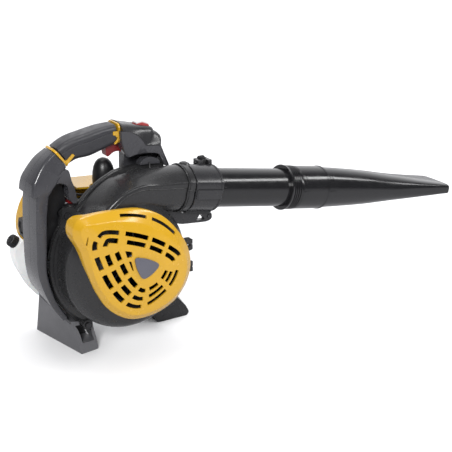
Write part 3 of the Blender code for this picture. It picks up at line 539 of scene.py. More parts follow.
# The rim and the fold of the face, as matching points (x, z). The ear points up and back.
GRILLE_RIM = (
    (-111, 240), (-103, 262), (-78, 267), (-40, 266), (0, 261), (36, 243), (64, 212), (80, 181),
    (83, 150), (72, 121), (50, 98), (15, 85), (-24, 87), (-58, 110), (-78, 143), (-91, 179), (-100, 212),
)
GRILLE_FOLD = (
    (-102, 240), (-97, 256), (-76, 256), (-40, 253), (-3, 242), (28, 224), (54, 199), (68, 174),
    (70, 151), (61, 127), (42, 108), (11, 97), (-24, 98), (-54, 119), (-74, 147), (-86, 180), (-92, 211),
)
GRILLE_BASE_Y = -96.5
GRILLE_FOLD_Y = -114.0
GRILLE_FACE_Y = -124.0
GRILLE_WALL = 2.6
FACE_MIDDLE = (-5, 172)

# Rings of slots: ten points of the outermost ring, and how far each moves for the next ring in
SLOT_RING = (
    (-83.5, 214), (-79, 234), (-60, 240.5), (0, 220.5), (47, 190), (54.5, 172), (37, 136.5),
    (-5, 112.5), (-37, 121.8), (-65, 161),
)
SLOT_RING_STEP = (
    (16, -3), (12, -9), (4, -13), (-3, -11.5), (-11, -6), (-11.5, -3), (-10, 5),
    (1, 13), (10, 10.5), (14, 5),
)
# Start and end of each slot, counted in points along its ring
SLOTS = (
    ((0.08, 0.72), (1.15, 2.3), (2.45, 3.04), (3.15, 3.58), (3.7, 4.62), (5.42, 6.03), (6.22, 6.93),
     (7.22, 7.98), (8.18, 8.65), (8.8, 9.27), (9.42, 9.8)),
    ((0.5, 2.2), (2.45, 2.98), (3.13, 3.62), (3.78, 4.7), (5.4, 5.9), (6.15, 6.88), (7.25, 8.0),
     (8.2, 8.68), (8.82, 9.32), (9.48, 9.88)),
    ((5.2, 5.75), (6.15, 6.85), (7.25, 8.02), (8.25, 8.8), (9.0, 9.45), (9.6, 10.05)),
)
RIM_SLOTS = ((3.05, 4.2), (4.45, 5.75))
# Where the grille's two hinge knuckles start
KNUCKLES = (148, 176)


def ring_curve(order):
    return [(x + order * dx, z + order * dz) for (x, z), (dx, dz) in zip(SLOT_RING, SLOT_RING_STEP)]


def slot_outline(curve, start, end, width):
    """A strip along a stretch of a closed curve, with rounded corners."""
    steps = max(3, round((end - start) * 8))
    outer, inner = [], []
    for k in range(steps + 1):
        place = start + (end - start) * k / steps
        here = Vector(curve_point(curve, place))
        ahead = Vector(curve_point(curve, place + 0.02)) - Vector(curve_point(curve, place - 0.02))
        side = Vector((-ahead.y, ahead.x)).normalized() * (width / 2)
        outer.append(tuple(here + side))
        inner.append(tuple(here - side))
    return rounded(outer + inner[::-1], 0.9, 2)


def slot_width(start):
    """Slots are widest on the rear side of the face."""
    return 7.8 if start > 8 or start < 0.6 else 6.8


def slot_shapes():
    shapes = []
    for order, spans in enumerate(SLOTS):
        curve = ring_curve(order)
        for start, end in spans:
            outline = slot_outline(curve, start, end, slot_width(start))
            shapes.append(prism(outline, -132, -100))
    middle = [tuple((Vector(a) + Vector(b)) / 2) for a, b in zip(GRILLE_RIM, GRILLE_FOLD)]
    for start, end in RIM_SLOTS:
        shapes.append(prism(slot_outline(middle, start, end, 4.6), -132, -98))
    shapes.append(prism(
        rounded([(-38.5, 208.5), (-26.5, 204.5), (-27.2, 197), (-35.5, 196.5)], 1.5, 3), -132, -100
    ))
    shapes.append(prism(rounded([(-33.5, 191), (-29, 190), (-25.8, 175), (-27.5, 174)], 0.8, 3), -132, -100))
    shapes.append(prism(rounded([(-97, 226), (-94, 239), (-92.6, 238.6), (-94.6, 226)], 0.5, 2), -132, -98))
    return merged(*shapes)


def grille_rings(wall):
    """Rings from the rim up to the middle of the face. wall 0 is the outside."""
    steps = 8
    rim = catmull(GRILLE_RIM, steps, closed=True)
    fold = catmull(GRILLE_FOLD, steps, closed=True)
    middle = Vector(FACE_MIDDLE)
    rings = []

    def add(points, y, inset):
        ring = []
        for x, z in points:
            point = Vector((x, z))
            point -= (point - middle).normalized() * inset
            ring.append(Vector((point.x, y, point.y)))
        rings.append(ring)

    def between(share):
        return [tuple(Vector(a) * (1 - share) + Vector(b) * share) for a, b in zip(rim, fold)]

    if wall:
        add(rim, -60.0, wall)
    else:
        add(rim, GRILLE_BASE_Y, wall)
        for i, point in enumerate(rings[-1]):
            point.y += 0.95 * min(max(-88 - rim[i][0], 0), 20)
        add(rim, -102.0, wall)
    for share, y in ((0.05, -103.2), (0.2, -105.0), (0.5, -108.6), (0.85, -112.8), (0.985, -114.3)):
        add(between(share), y + wall, wall * 0.8)
    for share in (0.012, 0.06, 0.18, 0.32, 0.5, 0.68, 0.84, 0.96):
        scaled = [tuple(Vector(p) * (1 - share) + middle * share) for p in fold]
        rise = (1 - (1 - share) ** 2.2) * (GRILLE_FACE_Y - GRILLE_FOLD_Y + 0.8)
        add(scaled, GRILLE_FOLD_Y - 0.8 + rise + wall, wall * (1 - share) * 0.6)
    return rings


def build_grille():
    piece = make_piece("grille_shell", skin(grille_rings(0)), "yellow_plastic", None)
    cut(piece, skin(grille_rings(GRILLE_WALL)))
    cut(piece, slot_shapes())
    settle(piece, "yellow_plastic", "grille", "intake_grille", 20, (0.45, 2, 30))
    return piece


def build_hinge():
    """Two knuckles on the grille, each with a headed pin into the boss beside it."""
    for low in KNUCKLES:
        knuckle = make_piece(
            f"hinge_knuckle_{low}", rod((HINGE_X, HINGE_Y, low), (0, 0, 1), 3.4, 0, 7, 24),
            "dark_plastic", None
        )
        fuse(
            knuckle, block((77, -99, low), (85, -95.5, low + 7)),
            block((82, -98, low), (88, -92.5, low + 7))
        )
        cut(knuckle, rod((HINGE_X, HINGE_Y, 100), (0, 0, 1), 2.4, 0, 140, 20))
        settle(knuckle, "dark_plastic", "grille", "intake_grille", 30)
        start = low - 9.6 if low < CRANK_Z else low - 1.2
        shape = [(1.6, 0), (2.0, 0.4), (2.0, 16), (2.6, 16.2), (2.6, 17.0), (2.0, 17.4)]
        pin = turned_solid((HINGE_X, HINGE_Y, start), (0, 0, 1), shape, 24)
        make_piece(f"hinge_pin_{low}", pin, "black_steel", "housing", ("grille_hinge_pin",), 35)


def badge_outline(reach):
    """A blank three-cornered plate: corners up and back, forward, and down."""
    corners = [(-23.5, 195.0), (17.0, 176.5), (-11.5, 158.0)]
    middle = Vector((-4, 176))
    grown = [tuple(middle + (Vector(c) - middle) * reach) for c in corners]
    bowed = []
    for i, corner in enumerate(grown):
        following = Vector(grown[(i + 1) % 3])
        half = (Vector(corner) + following) / 2
        bowed += [corner, tuple(half + (half - middle).normalized() * 3.2)]
    return rounded(bowed, 8.5, 8)


def build_badge():
    rings = []
    for reach, y in ((1.08, -124.0), (1.08, -125.9), (1.045, -126.5), (0.6, -126.8), (0.1, -126.85)):
        rings.append([Vector((x, y, z)) for x, z in badge_outline(reach)])
    make_piece("grille_badge_plate", skin(rings), "badge_grey", "grille", ("grille_badge",))


# ------------------------------------------------------------------ fan housing

# Flange radius of the scroll at angles from +X towards +Z, in degrees
SCROLL = (
    (40, 97), (0, 101), (-45, 112), (-90, 121), (-120, 125), (-145, 123),
    (-180, 116), (-204, 112.5), (-215, 109), (-226, 107), (-237, 108.5), (-249, 114.5), (-262, 122.5),
)
# Sections of the scroll as (inset from the flange, y): left side, top and bottom
SECTION_LEFT = (
    (8, -17), (8.4, -24), (8.8, -42), (9.4, -58), (11.5, -61), (17, -74), (24, -84), (32, -90),
    (42, -94.5), (48, -95),
)
SECTION_TOP = (
    (2.4, -17), (2.4, -24), (3.2, -50), (6, -79), (8, -84), (13, -88), (21, -90), (32, -91),
    (44, -92), (52, -92.5),
)
SECTION_BOTTOM = (
    (8, -17), (8.4, -26), (8.8, -46), (10, -62), (12.5, -73), (16.5, -81), (22, -87.5), (30, -92),
    (40, -94.5),
    (48, -95),
)
# Section of the shoulder as (distance in from the outer edge, y), at the left and over the top, and
# the angles of the matching points round the outlet, from the near side towards the top
SHOULDER_LEFT = (
    (8, -17), (8.4, -24), (8.7, -33), (9, -42), (9.4, -54), (10.2, -59), (12.5, -62.5), (17, -71),
    (23, -81), (33, -88),
    (45, -88), (55, -80), (60, -62), (60, -40), (40, -18),
)
SHOULDER = (
    (2, -17), (2, -24), (2.2, -37), (2.6, -50), (3.4, -66), (4.8, -84.6), (5.8, -88.2),
    (9.0, -90.2), (19, -90.8),
    (32, -90.5), (46, -87), (56, -78), (62, -62), (60, -40), (40, -18),
)
SHOULDER_ANGLES = (155, 140, 115, 90, 58, 29, 25, 19, 3, -20, -45, -70, -90, -125, -180)
SCREW_SPOTS = ((-86, 243), (-61, 55), (80, 229))
OUTLET_R = 36.0
SHELL_WALL = 3.0
FAN_ROOM = 0.8
CREST = 5.4
INTAKE_R = 62.0


def scroll_radius(angle):
    """Flange radius on a smooth curve through SCROLL."""
    angle = (angle + 262) % 360 - 262
    if angle > 40:
        share = ((angle - 40) / 58) ** 2.2
        return SCROLL[0][1] + (SCROLL[-1][1] - SCROLL[0][1]) * share
    for i, ((a0, r0), (a1, r1)) in enumerate(zip(SCROLL, SCROLL[1:])):
        if a1 <= angle <= a0:
            before = SCROLL[max(i - 1, 0)]
            after = SCROLL[min(i + 2, len(SCROLL) - 1)]
            slope0 = (r1 - before[1]) / (a1 - before[0])
            slope1 = (after[1] - r0) / (after[0] - a0)
            span = a1 - a0
            t = (angle - a0) / span
            return (r0 * (1 + 2 * t) * (1 - t) ** 2 + slope0 * span * t * (1 - t) ** 2
                    + r1 * t * t * (3 - 2 * t) + slope1 * span * t * t * (t - 1))
    return SCROLL[-1][1]


def scroll_point(angle, inset):
    radius = scroll_radius(angle) - inset
    a = math.radians(angle)
    return radius * math.cos(a), CRANK_Z + radius * math.sin(a)


def flange_outline(extra=0.0):
    """Scroll and duct outline of the joint between the two halves of the fan housing."""
    round_part = [scroll_point(angle, -extra) for angle in range(40, -263, -3)]
    top = catmull([(-4, 297.2 + extra), (15, 300.8 + extra), (50, 302 + extra), (83, 299 + extra)], 4)
    return round_part + top + [(84, 262), (74, 240)]


def scroll_section(angle):
    """Blends the left, top and bottom sections of the scroll."""
    a = math.radians(angle)
    side = SECTION_LEFT if math.cos(a) < 0 else SECTION_BOTTOM
    end = SECTION_TOP if math.sin(a) > 0 else SECTION_BOTTOM
    share = abs(math.sin(a)) ** 1.3
    return [
        (i0 + (i1 - i0) * share, y0 + (y1 - y0) * share)
        for (i0, y0), (i1, y1) in zip(side, end)
    ]


def scroll_solid():
    sections = {angle: catmull(scroll_section(angle), 3) for angle in range(0, -360, -2)}
    rings = []
    for j in range(len(sections[0])):
        ring = []
        for angle, section in sections.items():
            inset, y = section[j]
            x, z = scroll_point(angle, inset)
            ring.append(Vector((x, y, z)))
        rings.append(ring)
    return skin(rings)


def scroll_hollow():
    angles = range(0, -360, -6)
    rings = []
    for y, shrink in ((-10, 0), (-55, 4), (-70, 14), (-84, 28), (-91.5, 36)):
        points = [scroll_point(angle, 8 + SHELL_WALL + shrink) for angle in angles]
        rings.append([Vector((x, y, z)) for x, z in points])
    return skin(rings)


def crest_lift(angle):
    """How far the shoulder crest of the duct stands out of the round, at an angle in degrees
    from the near side towards the top."""
    if 25 <= angle <= 90:
        return CREST * ((90 - angle) / 65) ** 2
    if 3 <= angle < 25:
        return CREST * ((angle - 3) / 22) ** 0.8
    if -50 < angle < 3:
        return 0.9 * math.sin(math.radians((3 - angle) / 53 * 180))
    return 0.0


def crest_ring(along, radius, lift=1.0, segments=144):
    ring = []
    for k in range(segments):
        angle = -180 + 360 * k / segments
        a = math.radians(angle)
        r = radius + crest_lift(angle) * lift
        ring.append(on_tube(along, -math.cos(a) * r, math.sin(a) * r))
    return ring


def bead(path, radius, segments=8):
    """A thin round bead along a path of points."""
    rings = []
    count = len(path)
    for i, point in enumerate(path):
        ahead = path[min(i + 1, count - 1)] - path[max(i - 1, 0)]
        level, up = side_axes(ahead)
        turn = [2 * math.pi * k / segments for k in range(segments)]
        rings.append([point + (level * math.cos(a) + up * math.sin(a)) * radius for a in turn])
    return skin(rings)


def shoulder_path():
    """Over the scroll's top and along the duct: a point of the outer edge, the way in, the share of
    the top's section and the share of the outlet."""
    path = []
    for angle in range(-212, -263, -5):
        a = math.radians(angle)
        x, z = scroll_point(angle, 0)
        inward = Vector((-math.cos(a), 0, -math.sin(a)))
        path.append((Vector((x, 0, z)), inward, min(1.0, abs(math.sin(a)) ** 1.3 * 1.02), 0.0))
    last, way = path[-1][:2]
    up = on_tube(0, 0, 1) - on_tube(0)
    end = OUTLET + up * (OUTLET_R - 2)
    tops = catmull([(last.x, last.z), (10, 300), (46, 301.5), (end.x, end.z)], 5)
    for k, (x, z) in enumerate(tops[1:], 1):
        t = k / (len(tops) - 1)
        path.append((Vector((x, 0, z)), way.lerp(-up, t).normalized(), 1.0, t * t * (3 - 2 * t)))
    return path


def shoulder_ring(place, way, top, share, sink=0.0):
    ring = []
    for left, over, angle in zip(SHOULDER_LEFT, SHOULDER, SHOULDER_ANGLES):
        inset, y = (a + (b - a) * top for a, b in zip(left, over))
        a = math.radians(angle)
        r = OUTLET_R + crest_lift(angle)
        end_inset = OUTLET_R - 2 - math.sin(a) * r
        end_y = OUTLET.y - math.cos(a) * r
        depth = (inset + sink) * (1 - share) + end_inset * share
        side = (y + sink) * (1 - share) + end_y * share
        ring.append((place.x + way.x * depth, side, place.z + way.z * depth))
    return [Vector(point) for point in catmull(ring, 5, closed=True)]


def shoulder_solid():
    """One smooth sweep from inside the scroll's top to the round outlet."""
    rings = []
    for i, station in enumerate(shoulder_path()):
        rings.append(shoulder_ring(*station, 3.0 * max(0.0, 1 - i / 5)))
    return skin(rings)


def shoulder_hollow():
    """The room inside the sweep, a wall's thickness smaller and open at the outlet."""
    rings = []
    for station in shoulder_path()[6:]:
        ring = shoulder_ring(*station)
        middle = sum(ring, Vector()) / len(ring)
        rings.append([p + (middle - p).normalized() * (SHELL_WALL + 1.2) for p in ring])
    rings.append([point + TUBE_DIR * 4 for point in rings[-1]])
    return skin(rings)


def build_fan_housing():
    shell = make_piece("volute_body", scroll_solid(), "dark_plastic", None)
    fuse(shell, shoulder_solid())
    for low in (KNUCKLES[0] - 9, KNUCKLES[1] + 9):
        fuse(shell, block((66, -95.5, low), (91.5, -82, low + 7)))
    fuse(shell, prism(rounded([(50, 250), (50, 206), (72, 208), (78, 216), (78, 250)], 4, 4), -58, -17))
    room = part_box("impeller")
    wheel_r = max(abs(side[0] - START.x) for side in room) / MM + FAN_ROOM
    low, high = (side[1] / MM for side in room)
    cut(
        shell, scroll_hollow(), shoulder_hollow(),
        rod((0, 0, CRANK_Z), (0, 1, 0), wheel_r, low - FAN_ROOM, high, 64)
    )
    cut(shell, rod((0, -110, CRANK_Z), (0, 1, 0), INTAKE_R, 0, 40, 64))
    cut(shell, rod((HINGE_X, HINGE_Y, 120), (0, 0, 1), 2.4, 0, 100, 20))
    settle(shell, "dark_plastic", "housing", "volute_shell", 32)
    build_near_flange()
    build_back_half()
    build_duct_beads()


def build_near_flange():
    flange = make_piece("volute_flange_near", prism(flange_outline(), -21, -16.2), "dark_plastic", None)
    fuse(flange, prism(flange_outline(-4.6), -25.6, -20))
    ear = rounded([(-100, 226), (-90, 256), (-74, 256), (-66, 236), (-80, 220)], 7, 5)
    fuse(flange, prism(ear, -23.4, -16.4))
    for x, z in SCREW_SPOTS:
        fuse(flange, rod((x, 0, z), (0, 1, 0), 8.2, -25.2, -16.4, 28))
    cut(flange, scroll_hollow())
    for x, z in SCREW_SPOTS:
        cut(
            flange, rod((x, 0, z), (0, 1, 0), 5.4, -40, -24.2, 24),
            rod((x, 0, z), (0, 1, 0), 3.0, -40, 0, 20)
        )
    settle(flange, "dark_plastic", "housing", "volute_shell", 28, (0.9, 3, 40))


def build_back_half():
    back = make_piece("volute_back_plate", prism(flange_outline(0.4), -15.8, -11.5), "dark_plastic", None)
    fuse(back, prism(flange_outline(-5), -12, -10))
    cut(back, rod((0, -20, CRANK_Z), (0, 1, 0), 16, 0, 20, 32))
    for x, z in SCREW_SPOTS:
        fuse(back, rod((x, -15.8, z), (0, 1, 0), 7, 0, 8, 24))
        cut(back, rod((x, -30, z), (0, 1, 0), 3.0, 0, 40, 20))
    for k in range(9):
        angle = math.radians(20 + 40 * k)
        out = Vector((math.cos(angle), 0, math.sin(angle)))
        start = Vector((0, -10.5, CRANK_Z)) + out * 40
        end = Vector((0, -10.5, CRANK_Z)) + out * (scroll_radius(math.degrees(angle)) - 9)
        side = Vector((-out.z, 0, out.x)) * 1.2
        ends = [[
            p - side, p + side, p + side + Vector((0, 3.5, 0)), p - side + Vector((0, 3.5, 0))
        ] for p in (start, end)]
        fuse(back, skin(ends))
    settle(back, "dark_plastic", "housing", "volute_back", 28, (0.7, 2, 40))


def build_duct_beads():
    """The fine ledge below the shoulder crest, from the outlet round into the scroll."""
    path = []
    for station in shoulder_path()[3:]:
        spot = shoulder_ring(*station)[37]
        path.append((spot.x, spot.y + 0.1, spot.z))
    path = [Vector(point) for point in catmull(path, 2)]
    make_piece("duct_ledge", bead(path, 0.95), "dark_plastic", "housing", ("volute_shell",), 60)


# ------------------------------------------------------- collar, clamp and knob

def collar_solid(stations, lift=1.0):
    """A solid through rings of (distance, radius) with the shoulder crest."""
    return skin([crest_ring(along, radius, lift) for along, radius in stations])


def build_collar():
    outside = ((0.4, 38.0), (2.2, 38.4), (2.6, 37.2), (3.6, 37.2), (4.0, 37.9), (12.6, 37.9), (13.4, 37.1))
    collar = make_piece("collar_ring", collar_solid(outside), "dark_plastic", None)
    cut(collar, rod(OUTLET, TUBE_DIR, 31.9, -5, 30, 96))
    path = [crest_ring(s, 37.9)[75] for s in (0.6, 4, 8, 12.8)]
    settle(collar, "dark_plastic", "housing", "outlet_collar", 26)
    make_piece("collar_ledge", bead(path, 0.9), "dark_plastic", "housing", ("outlet_collar",), 60)


def build_clamp():
    outside = ((16.6, 36.3), (17.4, 37.0), (61.5, 37.0), (62.0, 37.8), (65.2, 37.8), (66.2, 36.8))
    clamp = make_piece("clamp_band", collar_solid(outside, 0.7), "grey_plastic", None)
    for angle, half in ((182, 7.5), (-100, 5.5)):
        a = math.radians(angle)
        out = Vector((math.cos(a), math.sin(a)))
        rings = []
        for along, height in ((18, 38.5), (20, 40.2), (63, 40.2), (65, 38.5)):
            corners = []
            for radius, spread in ((33, -half), (height, -half), (height, half), (33, half)):
                corners.append(on_tube(
                    along, out.x * radius - out.y * spread, out.y * radius + out.x * spread
                ))
            rings.append(corners)
        fuse(clamp, skin(rings))
    fuse(clamp, block((134, -48, 284), (140, -27, 300)), block((150, -48, 282), (156, -27, 299.5)))
    cut(clamp, rod((120, KNOB.y, KNOB.z), (1, 0, 0), 3.0, 0, 50, 20))
    cut(clamp, rod((145, KNOB.y, KNOB.z), (1, 0, 0), 11, -4.9, 4.9, 40))
    cut(clamp, rod(OUTLET, TUBE_DIR, 32.3, 0, 80, 96))
    settle(clamp, "grey_plastic", "housing", "tube_clamp", 26)
    hump = turned_solid(
        on_tube(13.5, 4, 33), on_tube(0, 0, 1) - on_tube(0),
        [(10, 0), (9.6, 3.6), (7.5, 6.4), (3.5, 8.0), (0.3, 8.4)], 40
    )
    make_piece("collar_hump", hump, "dark_plastic", "housing", ("outlet_collar",), 30)


def build_knob():
    """A knurled thumb nut on its threaded pin."""
    teeth = 22
    rings = []
    for x, shrink in ((140.6, 1.2), (141.6, 0), (148.4, 0), (149.4, 1.2)):
        ring = []
        for k in range(teeth * 4):
            radius = (10.0 if k % 4 in (0, 1) else 9.0) - shrink
            a = 2 * math.pi * k / (teeth * 4)
            ring.append(Vector((x, KNOB.y + radius * math.cos(a), KNOB.z + radius * math.sin(a))))
        rings.append(ring)
    knob = make_piece("thumb_nut", skin(rings), "black_plastic", None)
    thread = [(2.5, 131)] + [(
        2.5 - 0.35 * (i % 2), 131.5 + i * 0.6
    ) for i in range(1, 46)] + [(2.2, 159.6), (1.8, 160)]
    fuse(knob, turned_solid((0, KNOB.y, KNOB.z), (1, 0, 0), thread, 20))
    settle(knob, "black_plastic", "knob", "clamp_knob", 25)


def build_lug():
    corners = [(76, 232), (140, 219), (150, 214), (150.5, 204), (141, 200.5), (92, 205), (76, 212)]
    lug = make_piece("lug_plate", prism(rounded(corners, 7, 8), -57, -47.5), "grey_plastic", None)
    cut(lug, prism(rounded([(121, 206), (137, 205), (129, 217)], 2, 4), -60, -40))
    cut(lug, rod(OUTLET, TUBE_DIR, 38.4, -20, 17, 64), rod(OUTLET, TUBE_DIR, 40.8, 15, 80, 64))
    cut(lug, block((60, -60, 190), (78.4, -40, 240)))
    fuse(lug, rod((145, -59, 208.5), (0, 1, 0), 3.6, 0, 3, 20))
    settle(lug, "grey_plastic", "housing", "outlet_lug", 28, (1.0, 3, 40))


# -------------------------------------------------------------- tube and nozzle

TUBE_R = 31.5
SLEEVE_R = 36.5
SLEEVE_START = 203
SLEEVE_END = 283
NOZZLE_TIP = 560
# Distance, half width, half height, squareness and rise of the sections from the sleeve to the tip
NOZZLE_SECTIONS = (
    (284, 34.8, 34.8, 2.0, 0), (320, 34.0, 33.4, 2.0, 0), (380, 33.8, 29.6, 2.1, 0),
    (440, 34.6, 23.2, 2.3, 0.6),
    (500, 36.5, 16.2, 3.2, 2.4), (543, 38.2, 11.2, 4.4, 4.2), (NOZZLE_TIP, 38.5, 9.6, 5.0, 4.6),
)


def tube_band(along0, along1, angle0, angle1, radius, height):
    """A small raised patch on a round part, between two angles from the near side upwards."""
    rings = []
    for angle in [angle0 + (angle1 - angle0) * k / 6 for k in range(7)]:
        a = math.radians(angle)
        ring = []
        for along, r in (
            (along0, radius - 1), (along1, radius - 1), (along1, radius + height),
            (along0, radius + height)
        ):
            ring.append(on_tube(along, -math.cos(a) * r, math.sin(a) * r))
        rings.append(ring)
    return skin(rings)


def build_tube():
    profile = [(29.3, 16), (TUBE_R - 0.6, 16), (TUBE_R, 17), (TUBE_R, 225), (TUBE_R - 0.6, 226), (29.3, 226)]
    tube = make_piece("tube_pipe", turned(OUTLET, TUBE_DIR, profile, 128), "tube_plastic", None)
    for angle in (158, -22):
        a = math.radians(angle)
        place = on_tube(74, math.cos(a) * (TUBE_R - 1), math.sin(a) * (TUBE_R - 1))
        out = on_tube(0, math.cos(a), math.sin(a)) - on_tube(0)
        fuse(tube, turned_solid(place, out, [(4.6, 0), (4.4, 2.2), (3.6, 3.2), (0.4, 3.4)], 24))
    settle(tube, "tube_plastic", "tube", "blower_tube", 30)


def nozzle_rings(inset, reach, segments=96):
    rings = []
    for along, half_width, half_height, power, rise in catmull(NOZZLE_SECTIONS, 6):
        further = reach if along > NOZZLE_TIP - 1 else 0
        sizes = (half_width - inset, half_height - inset)
        rings.append(tube_section(along + further, *sizes, power, segments, rise))
    if not inset:
        rings.append(tube_section(NOZZLE_TIP + 1.6, 37.6, 8.6, 5.0, segments, 4.6))
    return rings


def build_nozzle():
    lip = SLEEVE_R + 1.8
    stations = [
        (SLEEVE_START, lip - 1), (SLEEVE_START + 1, lip), (SLEEVE_START + 4, lip - 0.6),
        (SLEEVE_START + 5, SLEEVE_R - 0.9)
    ]
    for k in range(4):
        start = SLEEVE_START + 6.2 + 4.0 * k
        stations += [
            (start, SLEEVE_R - 0.9), (start + 0.7, SLEEVE_R + 0.5), (start + 1.9, SLEEVE_R + 0.5),
            (start + 2.6, SLEEVE_R - 0.9)
        ]
    stations += [
        (SLEEVE_START + 23.5, SLEEVE_R - 0.5), (SLEEVE_START + 24.5, SLEEVE_R),
        (SLEEVE_END - 4, SLEEVE_R)
    ]
    stations += [
        (SLEEVE_END - 3.4, SLEEVE_R + 0.7), (SLEEVE_END - 1, SLEEVE_R + 0.7),
        (SLEEVE_END - 0.4, SLEEVE_R - 0.6)
    ]
    rings = [tube_section(along, radius, radius, 2, 96) for along, radius in stations]
    nozzle = make_piece("nozzle_body", skin(rings + nozzle_rings(0, 0)), "tube_plastic", None)
    bore = [tube_section(along, 32, 32, 2, 96) for along in (200, 240)]
    cut(nozzle, skin(bore + nozzle_rings(2.6, 6)))
    marks = [
        tube_band(229, 232, 26, 46, SLEEVE_R, 0.9), tube_band(234.5, 237.5, 26, 46, SLEEVE_R, 0.9),
        tube_band(229, 240, 1, 4, SLEEVE_R, 0.9),
        tube_band(287, 290, 26, 46, 34.7, 1.0), tube_band(292.5, 295.5, 26, 46, 34.6, 1.0),
        tube_band(286, 298, 1, 4, 34.7, 0.9),
    ]
    for mark in marks:
        fuse(nozzle, mark)
    settle(nozzle, "tube_plastic", "nozzle", "nozzle", 24)


# ------------------------------------------------------------------------ handle

# Stations of the arch: x, z, direction of its thickness, half thickness, near and far side, rise
BAND = (
    (-93, 76, 214, 4.5, -13, 95, 8), (-115, 109, 207, 5.5, -22, 62, 4), (-131, 156, 192, 7, -30, 30, 0),
    (-130, 200, 180, 8, -30, 30, 0), (-128, 240, 176, 8.5, -30, 30, 0), (-126, 262, 172, 9, -30, 30, 0),
    (-122, 285, 164, 10, -28, 28, 0), (-114, 300, 154, 10, -26, 26, 0),
)
SHOULDER_ARCH = (
    (-127, 280, 172, 13.5, -29.5, 29.5, 0), (-123, 290, 163, 16, -28.5, 28.5, 0),
    (-117, 299, 156, 18, -27, 27, 0), (-103, 317, 140, 18, -23, 23, 0), (-89, 329, 128, 16.5, -19, 19, 0),
)
CORE = (
    (-99, 320, 134, 10, -10, 10, 0), (-89, 329, 128, 10, -10, 10, 0), (-74, 339, 112, 10, -10, 10, 0),
    (-45, 345, 99, 10, -10, 10, 0), (-15, 351, 96, 10, -10, 10, 0), (12, 355.5, 88, 9, -10, 10, 0),
    (30, 350, 84, 9, -10, 10, 0),
)
GRIP = (
    (-83, 333, 126, 16.4, -18.5, 18.5, 0), (-66, 341, 108, 16.8, -19.3, 19.3, 0),
    (-42, 345, 99, 18, -20, 20, 0), (-16, 351, 97, 17, -19, 19, 0), (5, 355, 90, 14.5, -18, 18, 0),
)
PRONG = (
    (-104, 300), (-87, 314), (-79, 314), (-77, 308), (-75, 296), (-71, 286), (-68, 268), (-68, 260),
    (-75, 260), (-84, 276),
)
TRIGGER_SLOT = ((-18, -9.5, 318), (30, 9.5, 350))
HEAD_HALF = 26
SPLIT = 0.25


def arch_ring(x, z, angle, thickness, low, high, rise, corner, steps):
    """A section of the arch: a rectangle with round corners, square to its path."""
    a = math.radians(angle)
    out = Vector((math.cos(a), 0, math.sin(a)))
    middle, half = (low + high) / 2, (high - low) / 2
    corner = min(corner, thickness * 0.95, half * 0.95)
    ring = []
    for sy, st, start in ((1, 1, 0), (-1, 1, 90), (-1, -1, 180), (1, -1, 270)):
        for k in range(steps + 1):
            turn = math.radians(start + 90 * k / steps)
            across = sy * (half - corner) + corner * math.cos(turn)
            up = st * (thickness - corner) + corner * math.sin(turn)
            ring.append(Vector((x, middle + across, z + rise * across / half)) + out * up)
    return ring


def arch(stations, corner, smooth=4, steps=5):
    return skin([arch_ring(*station, corner, steps) for station in catmull(stations, smooth)])


def pocket():
    """Room round the rounded top of the chassis upright."""
    return prism(arc(-95, 281, 14.5, 200, -20, 24) + [(-80, 250), (-112, 250)], -40, 25)


def head_ring(y, points, shrink=0.0):
    middle = Vector((46, 335))
    ring = []
    for point in points:
        p = Vector(point)
        p -= (p - middle).normalized() * shrink
        ring.append(Vector((p.x, y, p.y)))
    return ring


# Outline of the control head on its middle plane, and of its side face, as matching points
HEAD_TOP = (
    (9, 370), (20, 369), (32, 366.4), (44, 363.4), (57, 360.5), (69.5, 357), (72.5, 351.5),
    (78, 348), (83, 343),
    (83.5, 337), (81.5, 331), (88, 312), (94, 294), (86, 293.5), (84.5, 302), (80, 312), (72, 319), (50, 322),
    (30, 322), (18, 321), (9, 340),
)
HEAD_SIDE = (
    (9, 363), (18, 361.5), (27, 358), (36, 353), (45, 345), (52, 336), (57, 333), (64, 332),
    (73, 331), (77, 331),
    (77.5, 328), (85, 310), (91, 295), (86, 294.5), (83.5, 302), (78, 311), (70, 317), (50, 319.5),
    (30, 319.5),
    (17, 318.5), (10, 340),
)


def head_solid(shrink=0.0):
    rings = []
    top = catmull(HEAD_TOP, 3, closed=True)
    side = catmull(HEAD_SIDE, 3, closed=True)
    half = (
        (0.30, 0.0, 0), (0.50, 0.06, 0), (0.64, 0.20, 0), (0.76, 0.42, 0), (0.86, 0.68, 0),
        (0.93, 0.88, 0.1), (0.975, 0.98, 0.6), (1.0, 1.0, 2.0),
    )
    for y, share, inset in [(-y, share, inset) for y, share, inset in half[::-1]] + list(half):
        points = [tuple(Vector(a) * (1 - share) + Vector(b) * share) for a, b in zip(top, side)]
        rings.append(head_ring(y * HEAD_HALF, points, inset + shrink))
    return skin(rings)


def head_panel(grow):
    """The region of the head below its arched cover."""
    arch_line = catmull(
        [(6, 361), (18, 360), (28, 356.5), (38, 350), (46, 341), (51, 333.5), (60, 331.5), (72, 330)],
        4
    )
    low = [(76.5, 329), (84, 309), (89, 294), (89, 280), (0, 280)]
    middle = Vector((36, 320))
    outline = []
    for point in arch_line + low:
        p = Vector(point)
        outline.append(tuple(p + (p - middle).normalized() * grow))
    return outline


